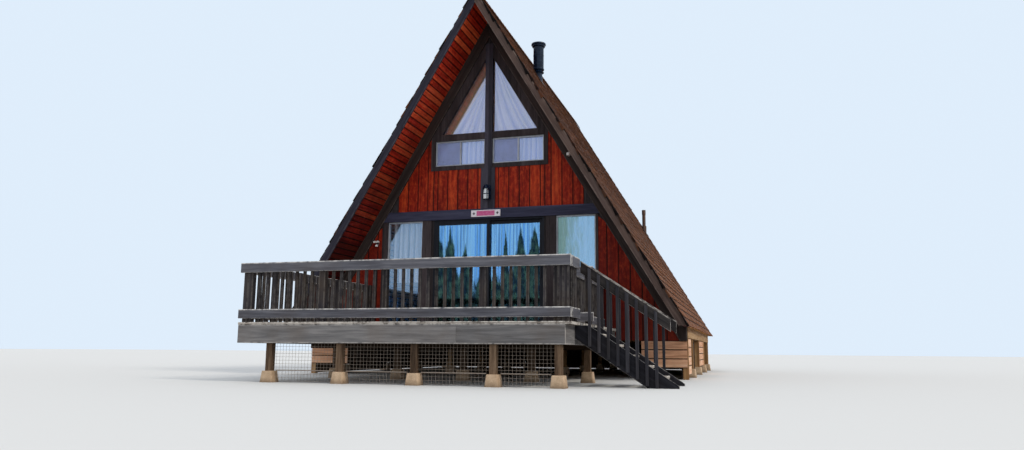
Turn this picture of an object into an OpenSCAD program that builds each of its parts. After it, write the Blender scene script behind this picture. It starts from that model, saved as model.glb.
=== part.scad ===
// A-frame cabin with a raised deck: X runs to the right along the front, Y to the back, Z up from the ground.
// Sizes are in millimetres. Heights named rise are measured up from the floor, the rest up from the ground.

/* [Roof] */
// Height of the ridge above the floor, at the top of the shingles
ridge_rise = 6230; // [5900:10:7500]
// Half of the roof's span at its eaves
roof_half = 3690; // [3550:10:4500]
// Height of the eaves above the floor
eave_rise = 40; // [20:5:80]
// Thickness of the roof: shingles, sheathing, insulation and planks
roof_thick = 130; // [90:5:180]
// Thickness of the shingle layer
shingle_thick = 24; // [18:1:40]
// How far the roof reaches past the front and the rear wall
overhang = 930; // [500:10:1300]
// How far down the barge boards reach, measured square to the slope from the top of the shingles
barge_w = 150; // [140:5:220]
// Width of the dark rafters on the two gable walls
rafter_w = 184; // [140:1:240]
// How far the gable rafters stand out of the wall
rafter_t = 60; // [38:1:90]
// Width of each leg of the ridge cap
ridge_cap_w = 210; // [150:5:300]
// Thickness of the ridge cap
ridge_cap_t = 20; // [12:1:30]

/* [House] */
// Length of the house between the outer faces of its gable walls
house_len = 7120; // [5600:10:9000]
// Thickness of the gable walls
wall_t = 120; // [100:5:180]
// Height of the floor and the deck above the ground
floor_h = 840; // [660:10:1100]
// How far the gable walls reach down below the floor
wall_drop = 190; // [180:5:240]
// Thickness of the floor boards
floor_t = 40; // [30:1:60]
// Height of the loft floor's underside above the floor
header_rise = 2060; // [2000:10:2500]
// Height of the header band and thickness of the loft floor
header_h = 186; // [140:1:240]

/* [Doors and windows] */
// Width of the sliding door's opening
door_w = 2164; // [1700:2:2240]
// Width of the solid post between the door and each tall window
pier_w = 226; // [180:2:280]
// Width of each tall window
tall_win_w = 729; // [560:1:860]
// Height of the tall windows' sill above the floor
tall_sill = 100; // [60:5:500]
// Height of the loft windows' sill above the floor
loft_sill_rise = 3110; // [3000:5:3250]
// Height of the loft windows
loft_win_h = 496; // [400:2:600]
// Width of each loft window
loft_win_w = 1006; // [800:2:1040]
// Height of the transom between the loft windows and the gable glass
transom_h = 125; // [90:1:150]
// Distance from the top of the shingles to the gable glass, square to the slope
glass_inset = 465; // [430:5:600]
// Thickness of the panes
pane_t = 8; // [5:1:12]
// Width of the aluminium bars around the windows
win_bar = 26; // [20:1:40]
// Depth of the aluminium window frames
win_depth = 60; // [40:1:80]
// Distance from the wall's face to the panes and the window frames
pane_set = 40; // [30:1:50]
// Width of the sliding door's outer frame
door_bar = 36; // [30:1:50]
// Width of the stiles and rails of the two door panels
stile_w = 58; // [45:1:90]
// Thickness of a door panel
panel_t = 40; // [30:1:44]
// How far the two door panels pass each other when shut
overlap = 60; // [50:2:80]
// Height of the door handle's middle above the floor
handle_rise = 1060; // [900:10:1150]
// Length of the door handle
handle_l = 220; // [160:10:300]
// Gap around the sliding panel
door_gap = 6; // [5:0.5:10]

/* [Trim] */
// Thickness of the header band
header_t = 36; // [25:1:50]
// Thickness of the flat trim boards
trim_t = 24; // [18:1:32]
// Width of the centre post between the gable panes
post_w = 146; // [110:2:200]
// Width of the centre post below the loft windows
post_low_w = 276; // [200:2:320]
// Height of the trim under the loft windows
sill_trim_h = 85; // [60:1:120]
// Width of the trim beside the loft windows
side_trim_w = 84; // [50:1:110]
// Width of the trim outside the left tall window
casing_left_w = 110; // [40:1:140]
// Width of the trim outside the right tall window
casing_right_w = 46; // [40:1:140]

/* [Deck] */
// Width of the deck
deck_w = 4880; // [4000:10:5900]
// Depth of the deck in front of the front wall
deck_d = 3950; // [3200:10:4600]
// Thickness of the deck boards
deck_board_t = 36; // [25:1:45]
// Height of the fascia board
fascia_h = 258; // [220:1:300]
// Thickness of boards such as the fascia and the stringers
board_t = 38; // [32:1:45]
// Height of the railings above the deck
rail_h = 850; // [800:5:1070]
// Height of the railings' two flat boards
rail_board_h = 140; // [100:5:160]
// Height of the lower rail's bottom edge above the deck
low_rail_rise = 52; // [40:1:90]
// Height of the lower flat board
low_board_h = 130; // [90:5:150]
// Thickness of the balusters
baluster = 38; // [32:1:45]
// Distance from one baluster to the next
baluster_step = 128; // [100:1:140]
// How far the railing behind the stair stands in from the deck's edge
right_rail_set = 250; // [200:10:400]
// Side of the posts in the railings and below the deck
post = 92; // [80:1:120]
// Width of the front left end post
end_post_w = 144; // [92:1:180]
// Width of the front right corner post
corner_post_w = 198; // [120:1:240]
// Height of the joists below the deck boards
deck_joist_h = 184; // [140:1:200]
// Height of the beam below the middle of the deck
deck_beam_h = 140; // [100:5:180]
// Largest distance from one joist to the next
joist_step = 610; // [400:10:620]
// Distance from one deck post to the next
deck_post_step = 1110; // [900:10:1300]

/* [Stair] */
// Width of the stair across its stringers
stair_w = 910; // [760:10:1100]
// Distance from the deck's front to the stair
stair_set = 590; // [540:10:900]
// Number of rises from the ground to the deck
rises = 6; // [5:1:7]
// Depth of one step
going = 210; // [190:5:280]
// Thickness of the treads
tread_t = 38; // [30:1:45]
// Depth of the stringers, measured upright
stringer_h = 300; // [260:5:340]
// How far a tread reaches past the next one above it
tread_lap = 20; // [10:1:35]
// Length of the stringers' level top on the deck's edge
stair_head = 60; // [40:5:80]

/* [Underside] */
// Width of the pier blocks
pier_block = 200; // [180:5:260]
// Height of the pier blocks
pier_h = 160; // [120:5:200]
// Width of the floor's side beams
beam_w = 100; // [80:5:140]
// Height of the side beams
beam_h = 180; // [150:5:220]
// Height of the floor joists and the beams that carry them
joist_h = 150; // [120:5:160]
// Width of the skirt boards on each side of the deck
skirt_w = 770; // [500:10:900]
// Height of the skirt boards
skirt_h = 455; // [300:5:460]
// How far the first skirt boards under the side beams reach back from the front wall
side_skirt_l = 1000; // [700:10:1100]
// Height of their lower edge above the ground
side_skirt_low = 70; // [30:5:120]
// Thickness of the skirt boards
skirt_t = 25; // [18:1:32]
// Thickness of the wire mesh panels
mesh_t = 6; // [4:1:8]

/* [Stovepipe and vent] */
// Distance of the stovepipe from the ridge
pipe_x = 445; // [300:5:900]
// Distance of the stovepipe behind the front wall
pipe_y = 2000; // [1000:10:5000]
// Height of the stovepipe's top above the ridge of the shingles
pipe_over = 20; // [0:10:900]
// Diameter of the stovepipe
pipe_d = 225; // [170:5:250]
// Diameter of the stovepipe's cap
pipe_cap_d = 320; // [280:4:380]
// Length of the wide pipe from its foot to the top of its cap
pipe_upper_l = 620; // [500:10:640]
// Diameter of the vent pipe
vent_d = 100; // [60:5:120]
// Length of the vent pipe above the roof
vent_l = 560; // [300:10:700]
// Distance of the vent pipe from the ridge
vent_x = 2050; // [1500:10:2400]
// Distance of the vent pipe in front of the rear wall's outer face
vent_set = 170; // [100:10:1500]

/* [Fittings] */
// Distance of the lantern from the cabin's middle
lantern_x = 5; // [-70:5:70]
// Height of the lantern's foot above the header band
lantern_rise = 148; // [100:2:300]
// Height of the lantern's body
lantern_h = 295; // [200:5:330]
// Diameter of the lantern's body
lantern_d = 120; // [100:2:150]
// Width of the board on the header band
board_w = 573; // [400:1:900]
// Distance of that board's middle from the cabin's middle
board_x = -30; // [-300:5:300]
// Height of that board
board_h = 126; // [100:2:180]
// Height of the twin lamp's top above the floor
spot_rise = 1690; // [1500:10:1750]
// Height of the round lamp above the floor
round_rise = 3170; // [2800:5:3600]

/* [Hidden] */
$fn = 48;

// Slope of the roof and the heights and places that follow from it
ridge_z = floor_h + ridge_rise;
eave_z = floor_h + eave_rise;
slope = (ridge_rise - eave_rise) / roof_half;
lean = sqrt(1 + slope * slope);
// Pieces that meet along the slope or at the side beams stay this far apart
fit = 0.5;
rafter_out = roof_thick + fit;
rafter_in = rafter_out + rafter_w;
trim_edge = rafter_in + fit;
// The front wall's outer face, placed so that the cabin is centred on the origin from front to back
wall_y = (deck_d - house_len - overhang) / 2;
rear_y = wall_y + house_len;
deck_y = wall_y - deck_d;
roof_front = wall_y - overhang;
roof_rear = rear_y + overhang;

header_z = floor_h + header_rise;
header_top = header_z + header_h;
loft_sill_z = floor_h + loft_sill_rise;
loft_head_z = loft_sill_z + loft_win_h;
glass_z = loft_head_z + transom_h;
pane_y = wall_y + pane_set;
door_half = door_w / 2;
win_in = door_half + pier_w;
win_out = win_in + tall_win_w;
wall_base = floor_h - wall_drop;
// The side beams' outer faces stand out past the roof deck's underside
beam_reach = 60;
beam_out = roof_x(roof_thick, eave_z) + beam_reach;
beam_in = beam_out - beam_w;
floor_x = beam_in - fit;

// The panels of the sliding door: the fixed one in front, the sliding one behind it
panel_set = 18;
frame_set = 10;
frame_d = 100;
panel_y = wall_y + panel_set;
slider_y = panel_y + panel_t + door_gap;
panel_z = floor_h + door_bar + door_gap;
panel_h = header_rise - 2 * (door_bar + door_gap);
slider_right = door_half - door_bar - door_gap;
slider_w = slider_right + overlap / 2;
handle_w = 24;
handle_t = 22;

// The railings: balusters behind two flat boards
rail_z = floor_h + rail_h;
deck_half = deck_w / 2;
stair_front = deck_y + stair_set;
stair_rear = stair_front + stair_w;
rise = floor_h / rises;
stair_slope = rise / going;
stair_foot = deck_half + rises * going + 10;
stair_rail_end = stair_foot - 95;
// The treads and rails start this near to the deck, and the stair's balusters keep these distances
stair_x = deck_half + 4;
stair_rail_drop = 60;
cap_drop = 20;
baluster_set = 30;
baluster_last = 60;
ground_gap = 4;
// Tops of posts and balusters stay this much below the rails, and pieces that meet at a corner this far apart
post_drop = 12;
rail_gap = 2;
// Place and width of the front railing's middle posts
front_posts = [[1308 - deck_half, post], [2274 - deck_half, 64], [deck_half - 1195, post]];

// The deck's boards reach past the fascia by a lip, further at the right end
deck_lip = 8;
deck_lip_right = 78;
deck_left = deck_half - deck_lip;
deck_right = deck_half - deck_lip_right;

// Rows and columns of piers below the house and below the deck
first_row = wall_y + 1250;
last_row = rear_y - pier_block / 2 + 10;
pier_rows = concat([first_row], [for (y = spread(first_row, last_row, 2000)) round(y)], [last_row]);
// The side posts stand just outside the side beams' inner face, the corner ones behind the skirt boards
side_post_in = beam_in + 4;
side_post_x = side_post_in + post / 2;
corner_y = wall_y + skirt_t + post / 2;
pier_cols = [-side_post_x, -beam_in / 3, beam_in / 3, side_post_x];
deck_cols = concat(
    [for (x = [505 - deck_half : deck_post_step : deck_half - 500]) x],
    deck_right - pier_block / 2
);
deck_row_front = deck_y + pier_block / 2 + rail_gap;
deck_row_mid = (deck_y + wall_y) / 2;
// Underside of the floor's joists
joist_z = floor_h - floor_t - joist_h;
// Levels below the deck's boards
deck_under = floor_h - deck_board_t;
deck_joist_low = deck_under - deck_joist_h;
deck_front_in = deck_y + deck_lip + board_t;
deck_left_in = deck_left - board_t;
deck_right_in = deck_right - board_t;
// Boards and mesh below the floor end this much above the ground
low_gap = 20;

// Thickness of the plain bodies that fill the space of the curtains, and their distance behind the wall
cloth_t = 40;
drape_t = 60;
drape_gap = 30;
drape_reach = 100;
cloth_lap = 60;
cloth_x = 10;
cloth_y = wall_y + wall_t;

// Places on the roof and the walls
pipe_top = ridge_z + pipe_over;
pipe_low_d = pipe_d - 60;
pipe_ring_d = pipe_d + 16;
pipe_ring_z = pipe_top - pipe_upper_l;
lantern_z = header_top + lantern_rise;
spot_z = floor_h + spot_rise;
spot_x = -(win_out + casing_left_w + roof_x(trim_edge, spot_z)) / 2;
round_z = floor_h + round_rise;
round_x = roof_x(roof_thick + rafter_w / 2, round_z);

// Distance out from the centre at which the line d below the top of the shingles crosses the height z
function roof_x(d, z) = (ridge_z - d * lean - z) / slope;
// Height of the line d below the top of the shingles at the distance x from the centre
function roof_z(d, x) = ridge_z - d * lean - slope * x;
// Height of the stringers' top edge at the place x
function stair_z(x) = floor_h - stair_slope * (x - deck_half - stair_head);
// Baluster places from a to b, spread evenly and about one step apart
function spread(a, b, step) = let (n = ceil((b - a) / step)) [for (i = [1 : n - 1]) a + i * (b - a) / n];

// Extrudes a shape drawn in X and Z along Y, from y0 to y1
module along_y(y0, y1) {
    translate([0, y1, 0]) rotate([90, 0, 0]) linear_extrude(y1 - y0) children();
}
module block(x0, x1, y0, y1, z0, z1) {
    translate([x0, y0, z0]) cube([x1 - x0, y1 - y0, z1 - z0]);
}
module both_sides() {
    children();
    mirror([1, 0, 0]) children();
}
// Band of the right slope between the depths d0 and d1, cut level at z_low and plumb at gap from the centre
module slope_band(d0, d1, z_low, gap = 0) {
    polygon([
        [gap, roof_z(d0, gap)], [gap, roof_z(d1, gap)],
        [roof_x(d1, z_low), z_low], [roof_x(d0, z_low), z_low]
    ]);
}

// Roof
module roof_deck_right() {
    color("#8a2f1c") along_y(roof_front + board_t, roof_rear - board_t)
        slope_band(shingle_thick, roof_thick, eave_z);
}
module roof_deck_left() {
    mirror([1, 0, 0]) roof_deck_right();
}
module shingles_right() {
    color("#6b4a34") difference() {
        along_y(roof_front, roof_rear) slope_band(0, shingle_thick, eave_z);
        pipe_hole();
        vent_hole();
    }
}
module shingles_left() {
    color("#6b4a34") mirror([1, 0, 0]) along_y(roof_front, roof_rear) slope_band(0, shingle_thick, eave_z);
}
module ridge_cap() {
    run = ridge_cap_w / lean;
    top = -ridge_cap_t;
    color("#5a3d2c") along_y(roof_front, roof_rear) polygon([
        [0, roof_z(top, 0)], [run, roof_z(top, run)], [run, roof_z(0, run)],
        [0, roof_z(0, 0)], [-run, roof_z(0, run)], [-run, roof_z(top, run)]
    ]);
}
module barge_pair(y0) {
    both_sides() along_y(y0, y0 + board_t) slope_band(shingle_thick, barge_w, eave_z, 1);
}
module front_barge_boards() {
    color("#33302f") barge_pair(roof_front);
}
module rear_barge_boards() {
    color("#33302f") barge_pair(roof_rear - board_t);
}
// Gable rafters end in a plumb foot in front of the side beams
module rafter_pair(y0) {
    foot_x = beam_out - 12;
    both_sides() along_y(y0, y0 + rafter_t) polygon([
        [1, roof_z(rafter_out, 1)], [1, roof_z(rafter_in, 1)],
        [roof_x(rafter_in, wall_base), wall_base], [foot_x, wall_base],
        [foot_x, eave_z], [roof_x(rafter_out, eave_z), eave_z]
    ]);
}
module front_rafters() {
    color("#35312f") rafter_pair(wall_y - rafter_t);
}
module rear_rafters() {
    color("#35312f") rafter_pair(rear_y);
}

// Gable walls
module gable_outline(z0, z1) {
    low = max(z0, eave_z);
    foot = roof_x(rafter_out, eave_z);
    side = beam_in - fit;
    polygon(concat(
        [[-min(side, roof_x(rafter_out, low)), z0], [min(side, roof_x(rafter_out, low)), z0]],
        z0 < eave_z ? [[side, eave_z], [foot, eave_z]] : [],
        z1 < ridge_z - rafter_out * lean
            ? [[roof_x(rafter_out, z1), z1], [-roof_x(rafter_out, z1), z1]]
            : [[0, roof_z(rafter_out, 0)]],
        z0 < eave_z ? [[-foot, eave_z], [-side, eave_z]] : []
    ));
}
module front_wall_side() {
    along_y(wall_y, wall_y + wall_t) difference() {
        intersection() {
            gable_outline(wall_base, header_z);
            translate([door_half, wall_base]) square([roof_half, header_z - wall_base]);
        }
        translate([win_in, floor_h + tall_sill]) square([tall_win_w, header_rise]);
    }
}
module front_wall_right() {
    color("#8e2c1a") front_wall_side();
}
module front_wall_left() {
    color("#8e2c1a") mirror([1, 0, 0]) front_wall_side();
}
module loft_window_hole() {
    translate([post_w / 2, loft_sill_z]) square([loft_win_w, loft_win_h]);
}
module gable_pane() {
    x0 = post_w / 2;
    polygon([[x0, glass_z], [roof_x(glass_inset, glass_z), glass_z], [x0, roof_z(glass_inset, x0)]]);
}
module front_wall_upper() {
    color("#8e2c1a") along_y(wall_y, wall_y + wall_t) difference() {
        gable_outline(header_z, ridge_z);
        both_sides() loft_window_hole();
        both_sides() gable_pane();
    }
}
module rear_wall() {
    color("#8e2c1a") along_y(rear_y - wall_t, rear_y) gable_outline(wall_base, ridge_z);
}

// Painted trim
module header_outline() {
    polygon([
        [-roof_x(trim_edge, header_z), header_z], [roof_x(trim_edge, header_z), header_z],
        [roof_x(trim_edge, header_top), header_top], [-roof_x(trim_edge, header_top), header_top]
    ]);
}
module header_band() {
    color("#353130") along_y(wall_y - header_t, wall_y) header_outline();
}
module centre_outline(low) {
    top = roof_z(trim_edge, post_w / 2);
    translate([-post_w / 2, low]) square([post_w, top - low]);
}
module centre_post() {
    color("#35302f") along_y(wall_y - header_t, wall_y) {
        centre_outline(header_top);
        translate([-post_low_w / 2, header_top]) square([post_low_w, loft_sill_z - sill_trim_h - header_top]);
    }
}
module window_trim_upper() {
    side_x = post_w / 2 + loft_win_w;
    polygon([
        [post_w / 2, loft_head_z], [side_x, loft_head_z], [side_x, loft_sill_z], [post_w / 2, loft_sill_z],
        [post_w / 2, loft_sill_z - sill_trim_h], [side_x + side_trim_w, loft_sill_z - sill_trim_h],
        [side_x + side_trim_w, roof_z(trim_edge, side_x + side_trim_w)],
        [post_w / 2, roof_z(trim_edge, post_w / 2)], [post_w / 2, roof_z(glass_inset, post_w / 2)],
        [roof_x(glass_inset, glass_z), glass_z], [post_w / 2, glass_z]
    ]);
}
// Trim outside a tall window, cut off where it would meet the rafter
module casing(w) {
    intersection() {
        translate([win_out, floor_h]) square([w, header_rise]);
        slope_band(trim_edge, ridge_z, floor_h);
    }
}
module window_trim() {
    jamb = pier_w - door_bar;
    color("#353130") along_y(wall_y - trim_t, wall_y) {
        both_sides() window_trim_upper();
        both_sides() translate([door_half + door_bar, floor_h]) square([jamb, header_rise]);
        casing(casing_right_w);
        mirror([1, 0, 0]) casing(casing_left_w);
    }
}
module rear_trim() {
    color("#353130") along_y(rear_y, rear_y + header_t) {
        header_outline();
        centre_outline(header_top);
    }
}

// Glass, frames and the sliding door
module gable_glass() {
    color("#9fb6c8") both_sides() along_y(pane_y, pane_y + pane_t) gable_pane();
}
module frame_ring(x0, z0, w, h, bar) {
    difference() {
        translate([x0, z0]) square([w, h]);
        translate([x0 + bar, z0 + bar]) square([w - 2 * bar, h - 2 * bar]);
    }
}
module window_frames() {
    front_y = wall_y + pane_set - 25;
    color("#b9bcbd") both_sides() along_y(front_y, front_y + win_depth) {
        frame_ring(win_in, floor_h + tall_sill, tall_win_w, header_rise - tall_sill, win_bar);
        frame_ring(post_w / 2, loft_sill_z, loft_win_w, loft_win_h, win_bar);
        translate([post_w / 2 + loft_win_w / 2 - win_bar / 2, loft_sill_z + win_bar / 2])
            square([win_bar, loft_win_h - win_bar]);
    }
}
module window_glass() {
    mid = post_w / 2 + loft_win_w / 2;
    half_w = loft_win_w / 2 - 1.5 * win_bar;
    fixed_x0 = -door_half + door_bar + stile_w;
    color("#9fb6c8") {
        both_sides() along_y(pane_y, pane_y + pane_t) {
            translate([win_in + win_bar, floor_h + tall_sill + win_bar])
                square([tall_win_w - 2 * win_bar, header_rise - tall_sill - 2 * win_bar]);
            for (x = [post_w / 2 + win_bar, mid + win_bar / 2])
                translate([x, loft_sill_z + win_bar]) square([half_w, loft_win_h - 2 * win_bar]);
        }
        along_y(panel_y + panel_t / 2 - pane_t / 2, panel_y + panel_t / 2 + pane_t / 2)
            translate([fixed_x0, floor_h + door_bar + stile_w])
            square([overlap / 2 - stile_w - fixed_x0, header_rise - 2 * (door_bar + stile_w)]);
    }
}
module door_frame() {
    color("#3b3a3b") along_y(wall_y + frame_set, wall_y + frame_set + frame_d)
        frame_ring(-door_half, floor_h, door_w, header_rise, door_bar);
}
module fixed_door_panel() {
    left = -door_half + door_bar;
    color("#4a494a") along_y(panel_y, panel_y + panel_t)
        frame_ring(left, floor_h + door_bar, overlap / 2 - left, header_rise - 2 * door_bar, stile_w);
}
module sliding_door_panel() {
    x0 = slider_right - stile_w / 2 - handle_w / 2;
    z0 = floor_h + handle_rise - handle_l / 2;
    color("#4a494a") {
        along_y(slider_y, slider_y + panel_t)
            frame_ring(slider_right - slider_w, panel_z, slider_w, panel_h, stile_w);
        for (y = [slider_y - handle_t, slider_y + panel_t])
            block(x0, x0 + handle_w, y, y + handle_t, z0, z0 + handle_l);
    }
}
module sliding_door_glass() {
    mid_y = slider_y + panel_t / 2;
    color("#9fb6c8") along_y(mid_y - pane_t / 2, mid_y + pane_t / 2)
        translate([slider_right - slider_w + stile_w, panel_z + stile_w])
        square([slider_w - 2 * stile_w, panel_h - 2 * stile_w]);
}

// Curtains, each a plain thin body in the space that the cloth fills
module gable_curtains() {
    depth = glass_inset - cloth_lap;
    low = glass_z - transom_h / 3;
    color("#dfe0ea") both_sides() along_y(cloth_y, cloth_y + cloth_t) polygon([
        [cloth_x, low], [roof_x(depth, glass_z), low], [roof_x(depth, glass_z), glass_z],
        [cloth_x, roof_z(depth, cloth_x)]
    ]);
}
module loft_curtains() {
    low = loft_sill_z - cloth_lap;
    high = loft_head_z + transom_h / 3;
    color("#dfe0ea") both_sides() along_y(cloth_y, cloth_y + cloth_t)
        translate([cloth_x, low]) square([post_w / 2 + loft_win_w + cloth_lap - cloth_x, high - low]);
}
module lower_curtains() {
    y0 = cloth_y + drape_gap;
    low = floor_h + cloth_lap;
    color("#b9c6c4") both_sides() {
        block(win_in - cloth_x, win_out + drape_reach, y0, y0 + drape_t, low, header_z);
        block(cloth_x, door_half + drape_reach, y0, y0 + drape_t, low, header_z);
    }
}

// Floors and what carries them
module cabin_floor() {
    color("#7b5b3d") block(-floor_x, floor_x, wall_y + wall_t, rear_y - wall_t, floor_h - floor_t, floor_h);
}
module loft_floor() {
    color("#8a6742") along_y(wall_y + wall_t, rear_y - wall_t) polygon([
        [-roof_x(rafter_out, header_z), header_z], [roof_x(rafter_out, header_z), header_z],
        [roof_x(rafter_out, header_top), header_top], [-roof_x(rafter_out, header_top), header_top]
    ]);
}
module floor_beams() {
    color("#a98455") {
        both_sides() block(beam_in, beam_out, wall_y, rear_y, eave_z - beam_h, eave_z);
        for (x = [pier_cols[1], pier_cols[2]])
            block(x - post / 2, x + post / 2, wall_y + wall_t, rear_y - wall_t, joist_z - joist_h, joist_z);
    }
}
module floor_joists() {
    first = wall_y + wall_t;
    last = rear_y - wall_t - board_t;
    color("#a98455") for (y = concat([first, last], spread(first, last, joist_step)))
        block(-floor_x, floor_x, y, y + board_t, joist_z, joist_z + joist_h);
}
module post_at(x, y, low, top) {
    block(x - post / 2, x + post / 2, y - post / 2, y + post / 2, low, top);
}
module cabin_posts() {
    color("#a98455") {
        for (y = pier_rows, x = [pier_cols[0], pier_cols[3]]) post_at(x, y, pier_h, eave_z - beam_h);
        for (y = pier_rows, x = [pier_cols[1], pier_cols[2]]) post_at(x, y, pier_h, joist_z - joist_h);
        for (x = [pier_cols[0], pier_cols[3]]) post_at(x, corner_y, 0, eave_z - beam_h);
    }
}
module pier_at(x, y) {
    block(x - pier_block / 2, x + pier_block / 2, y - pier_block / 2, y + pier_block / 2, 0, pier_h);
}
module pier_blocks() {
    color("#b3a48c") {
        for (x = pier_cols, y = pier_rows) pier_at(x, y);
        for (x = deck_cols, y = [deck_row_front, deck_row_mid]) pier_at(x, y);
    }
}
// Skirt boards beside the deck, and two stretches of them under each side beam
module skirt_boards() {
    x1 = beam_out - beam_reach / 3;
    top = eave_z - beam_h;
    color("#c9a877") both_sides() {
        block(x1 - skirt_w, x1, wall_y, wall_y + skirt_t, wall_base - skirt_h, wall_base);
        block(x1 - skirt_t, x1, corner_y + post / 2, wall_y + side_skirt_l, side_skirt_low, top);
        block(x1 - skirt_t, x1, pier_rows[1] + post / 2, pier_rows[2] - post / 2, pier_h + rail_gap, top);
    }
}
// Boards that close the space below the floor at both sides and at the back, notched over the pier blocks
module crawl_boards() {
    notch = pier_block / 2 + rail_gap;
    inner = side_post_in - skirt_t;
    color("#6b5846") {
        both_sides() difference() {
            block(inner, side_post_in, wall_y + skirt_t, rear_y - skirt_t, low_gap, joist_z);
            for (y = pier_rows)
                block(inner - 1, side_post_in + 1, y - notch, y + notch, 0, pier_h + rail_gap);
        }
        difference() {
            block(-side_post_in, side_post_in, rear_y - skirt_t, rear_y, low_gap, wall_base);
            for (x = pier_cols)
                block(x - notch, x + notch, rear_y - skirt_t - 1, rear_y + 1, 0, pier_h + rail_gap);
        }
    }
}

// Deck
module deck_floor() {
    color("#6f675f") block(-deck_half, deck_half, deck_y, wall_y, deck_under, floor_h);
}
module deck_fascia() {
    low = deck_under - fascia_h;
    color("#4f4a47") {
        block(-deck_left, deck_right, deck_y + deck_lip, deck_front_in, low, deck_under);
        block(-deck_left, -deck_left_in, deck_y + deck_lip, wall_y, low, deck_under);
        block(deck_right_in, deck_right, deck_y + deck_lip, wall_y, low, deck_under);
    }
}
module deck_beams() {
    back = deck_row_front + post / 2;
    color("#5d5148") {
        block(-deck_left_in, deck_right_in, wall_y - board_t, wall_y, deck_joist_low, deck_under);
        block(-deck_left_in, deck_right_in, deck_front_in, back, deck_under - fascia_h, deck_joist_low);
        block(-deck_left_in, deck_right_in, deck_row_mid - post / 2, deck_row_mid + post / 2,
            deck_joist_low - deck_beam_h, deck_joist_low);
    }
}
module deck_joists() {
    last = deck_right_in - board_t;
    color("#5d5148")
        for (x = concat([-deck_left_in, last], spread(-deck_left_in, last, joist_step)))
            block(x, x + board_t, deck_front_in, wall_y - board_t, deck_joist_low, deck_under);
}
module deck_posts() {
    color("#6b5846") for (x = deck_cols) {
        post_at(x, deck_row_front, pier_h, deck_under - fascia_h);
        post_at(x, deck_row_mid, pier_h, deck_joist_low - deck_beam_h);
    }
}
module deck_mesh() {
    y0 = deck_row_front;
    step = pier_h + rail_gap;
    wide = pier_block / 2 + rail_gap;
    color("#8c8a86") for (i = [0 : len(deck_cols) - 2]) {
        x0 = deck_cols[i];
        x1 = deck_cols[i + 1];
        block(x0 + wide, x1 - wide, y0 - mesh_t / 2, y0 + mesh_t / 2, low_gap, step);
        block(x0 + post / 2, x1 - post / 2, y0 - mesh_t / 2, y0 + mesh_t / 2, step, deck_under - fascia_h);
    }
}

// Railing along X from 0 to l, with its boards on the side of -Y and its posts given by middle and width
module railing(l, posts, post_w0, post_w1) {
    low = floor_h + low_rail_rise;
    top = rail_z - post_drop;
    block(0, l, 0, board_t, rail_z - rail_board_h, rail_z);
    block(0, l, 0, board_t, low, low + low_board_h);
    if (post_w0 > 0) block(board_t, board_t + post_w0, board_t, board_t + post, floor_h, top);
    if (post_w1 > 0) block(l - board_t - post_w1, l - board_t, board_t, board_t + post, floor_h, top);
    for (p = posts) block(p[0] - p[1] / 2, p[0] + p[1] / 2, board_t, board_t + post, floor_h, top);
    starts = concat([post_w0 > 0 ? board_t + post_w0 : 0], [for (p = posts) p[0] + p[1] / 2]);
    ends = concat([for (p = posts) p[0] - p[1] / 2], [post_w1 > 0 ? l - board_t - post_w1 : l]);
    for (i = [0 : len(starts) - 1]) for (x = spread(starts[i], ends[i], baluster_step))
        block(x - baluster / 2, x + baluster / 2, board_t, board_t + baluster, floor_h, top);
}
module railing_front() {
    color("#4f4a47") translate([-deck_half, deck_y, 0])
        railing(deck_w, [for (p = front_posts) [p[0] + deck_half, p[1]]], end_post_w, corner_post_w);
}
module railing_left() {
    l = deck_d - board_t - post - rail_gap;
    color("#4f4a47") translate([-deck_half, wall_y, 0]) rotate([0, 0, -90])
        railing(l, [[l / 3, post], [2 * l / 3, post]], post, 0);
}
module railing_right() {
    l = wall_y - stair_rear;
    short = stair_set - board_t - post - rail_gap;
    color("#4f4a47") {
        translate([deck_half - right_rail_set, stair_rear, 0]) rotate([0, 0, 90])
            railing(l, [[l / 2, post]], post, post);
        translate([deck_half - right_rail_set + rail_gap, stair_rear, 0])
            railing(right_rail_set - rail_gap, [], 0, post);
        translate([deck_half, stair_front - short, 0]) rotate([0, 0, 90]) railing(short, [], 0, post);
    }
}

// Stair at the deck's right side, going down towards +X
module stringer_outline() {
    x0 = deck_right;
    x1 = deck_half + stair_head;
    polygon([
        [x0, deck_under], [x1 + deck_board_t / stair_slope, deck_under], [stair_foot, stair_z(stair_foot)],
        [stair_foot, 0], [x1 + (floor_h - stringer_h) / stair_slope, 0], [x0, stair_z(x0) - stringer_h]
    ]);
}
module stair_stringers() {
    color("#413d3d") {
        along_y(stair_front, stair_front + board_t) stringer_outline();
        along_y(stair_rear - board_t, stair_rear) stringer_outline();
    }
}
module stair_treads() {
    color("#6f675f") for (i = [1 : rises - 1])
        block(stair_x + (i - 1) * going, stair_x + i * going + tread_lap, stair_front + board_t,
            stair_rear - board_t, floor_h - i * rise - tread_t, floor_h - i * rise);
}
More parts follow.
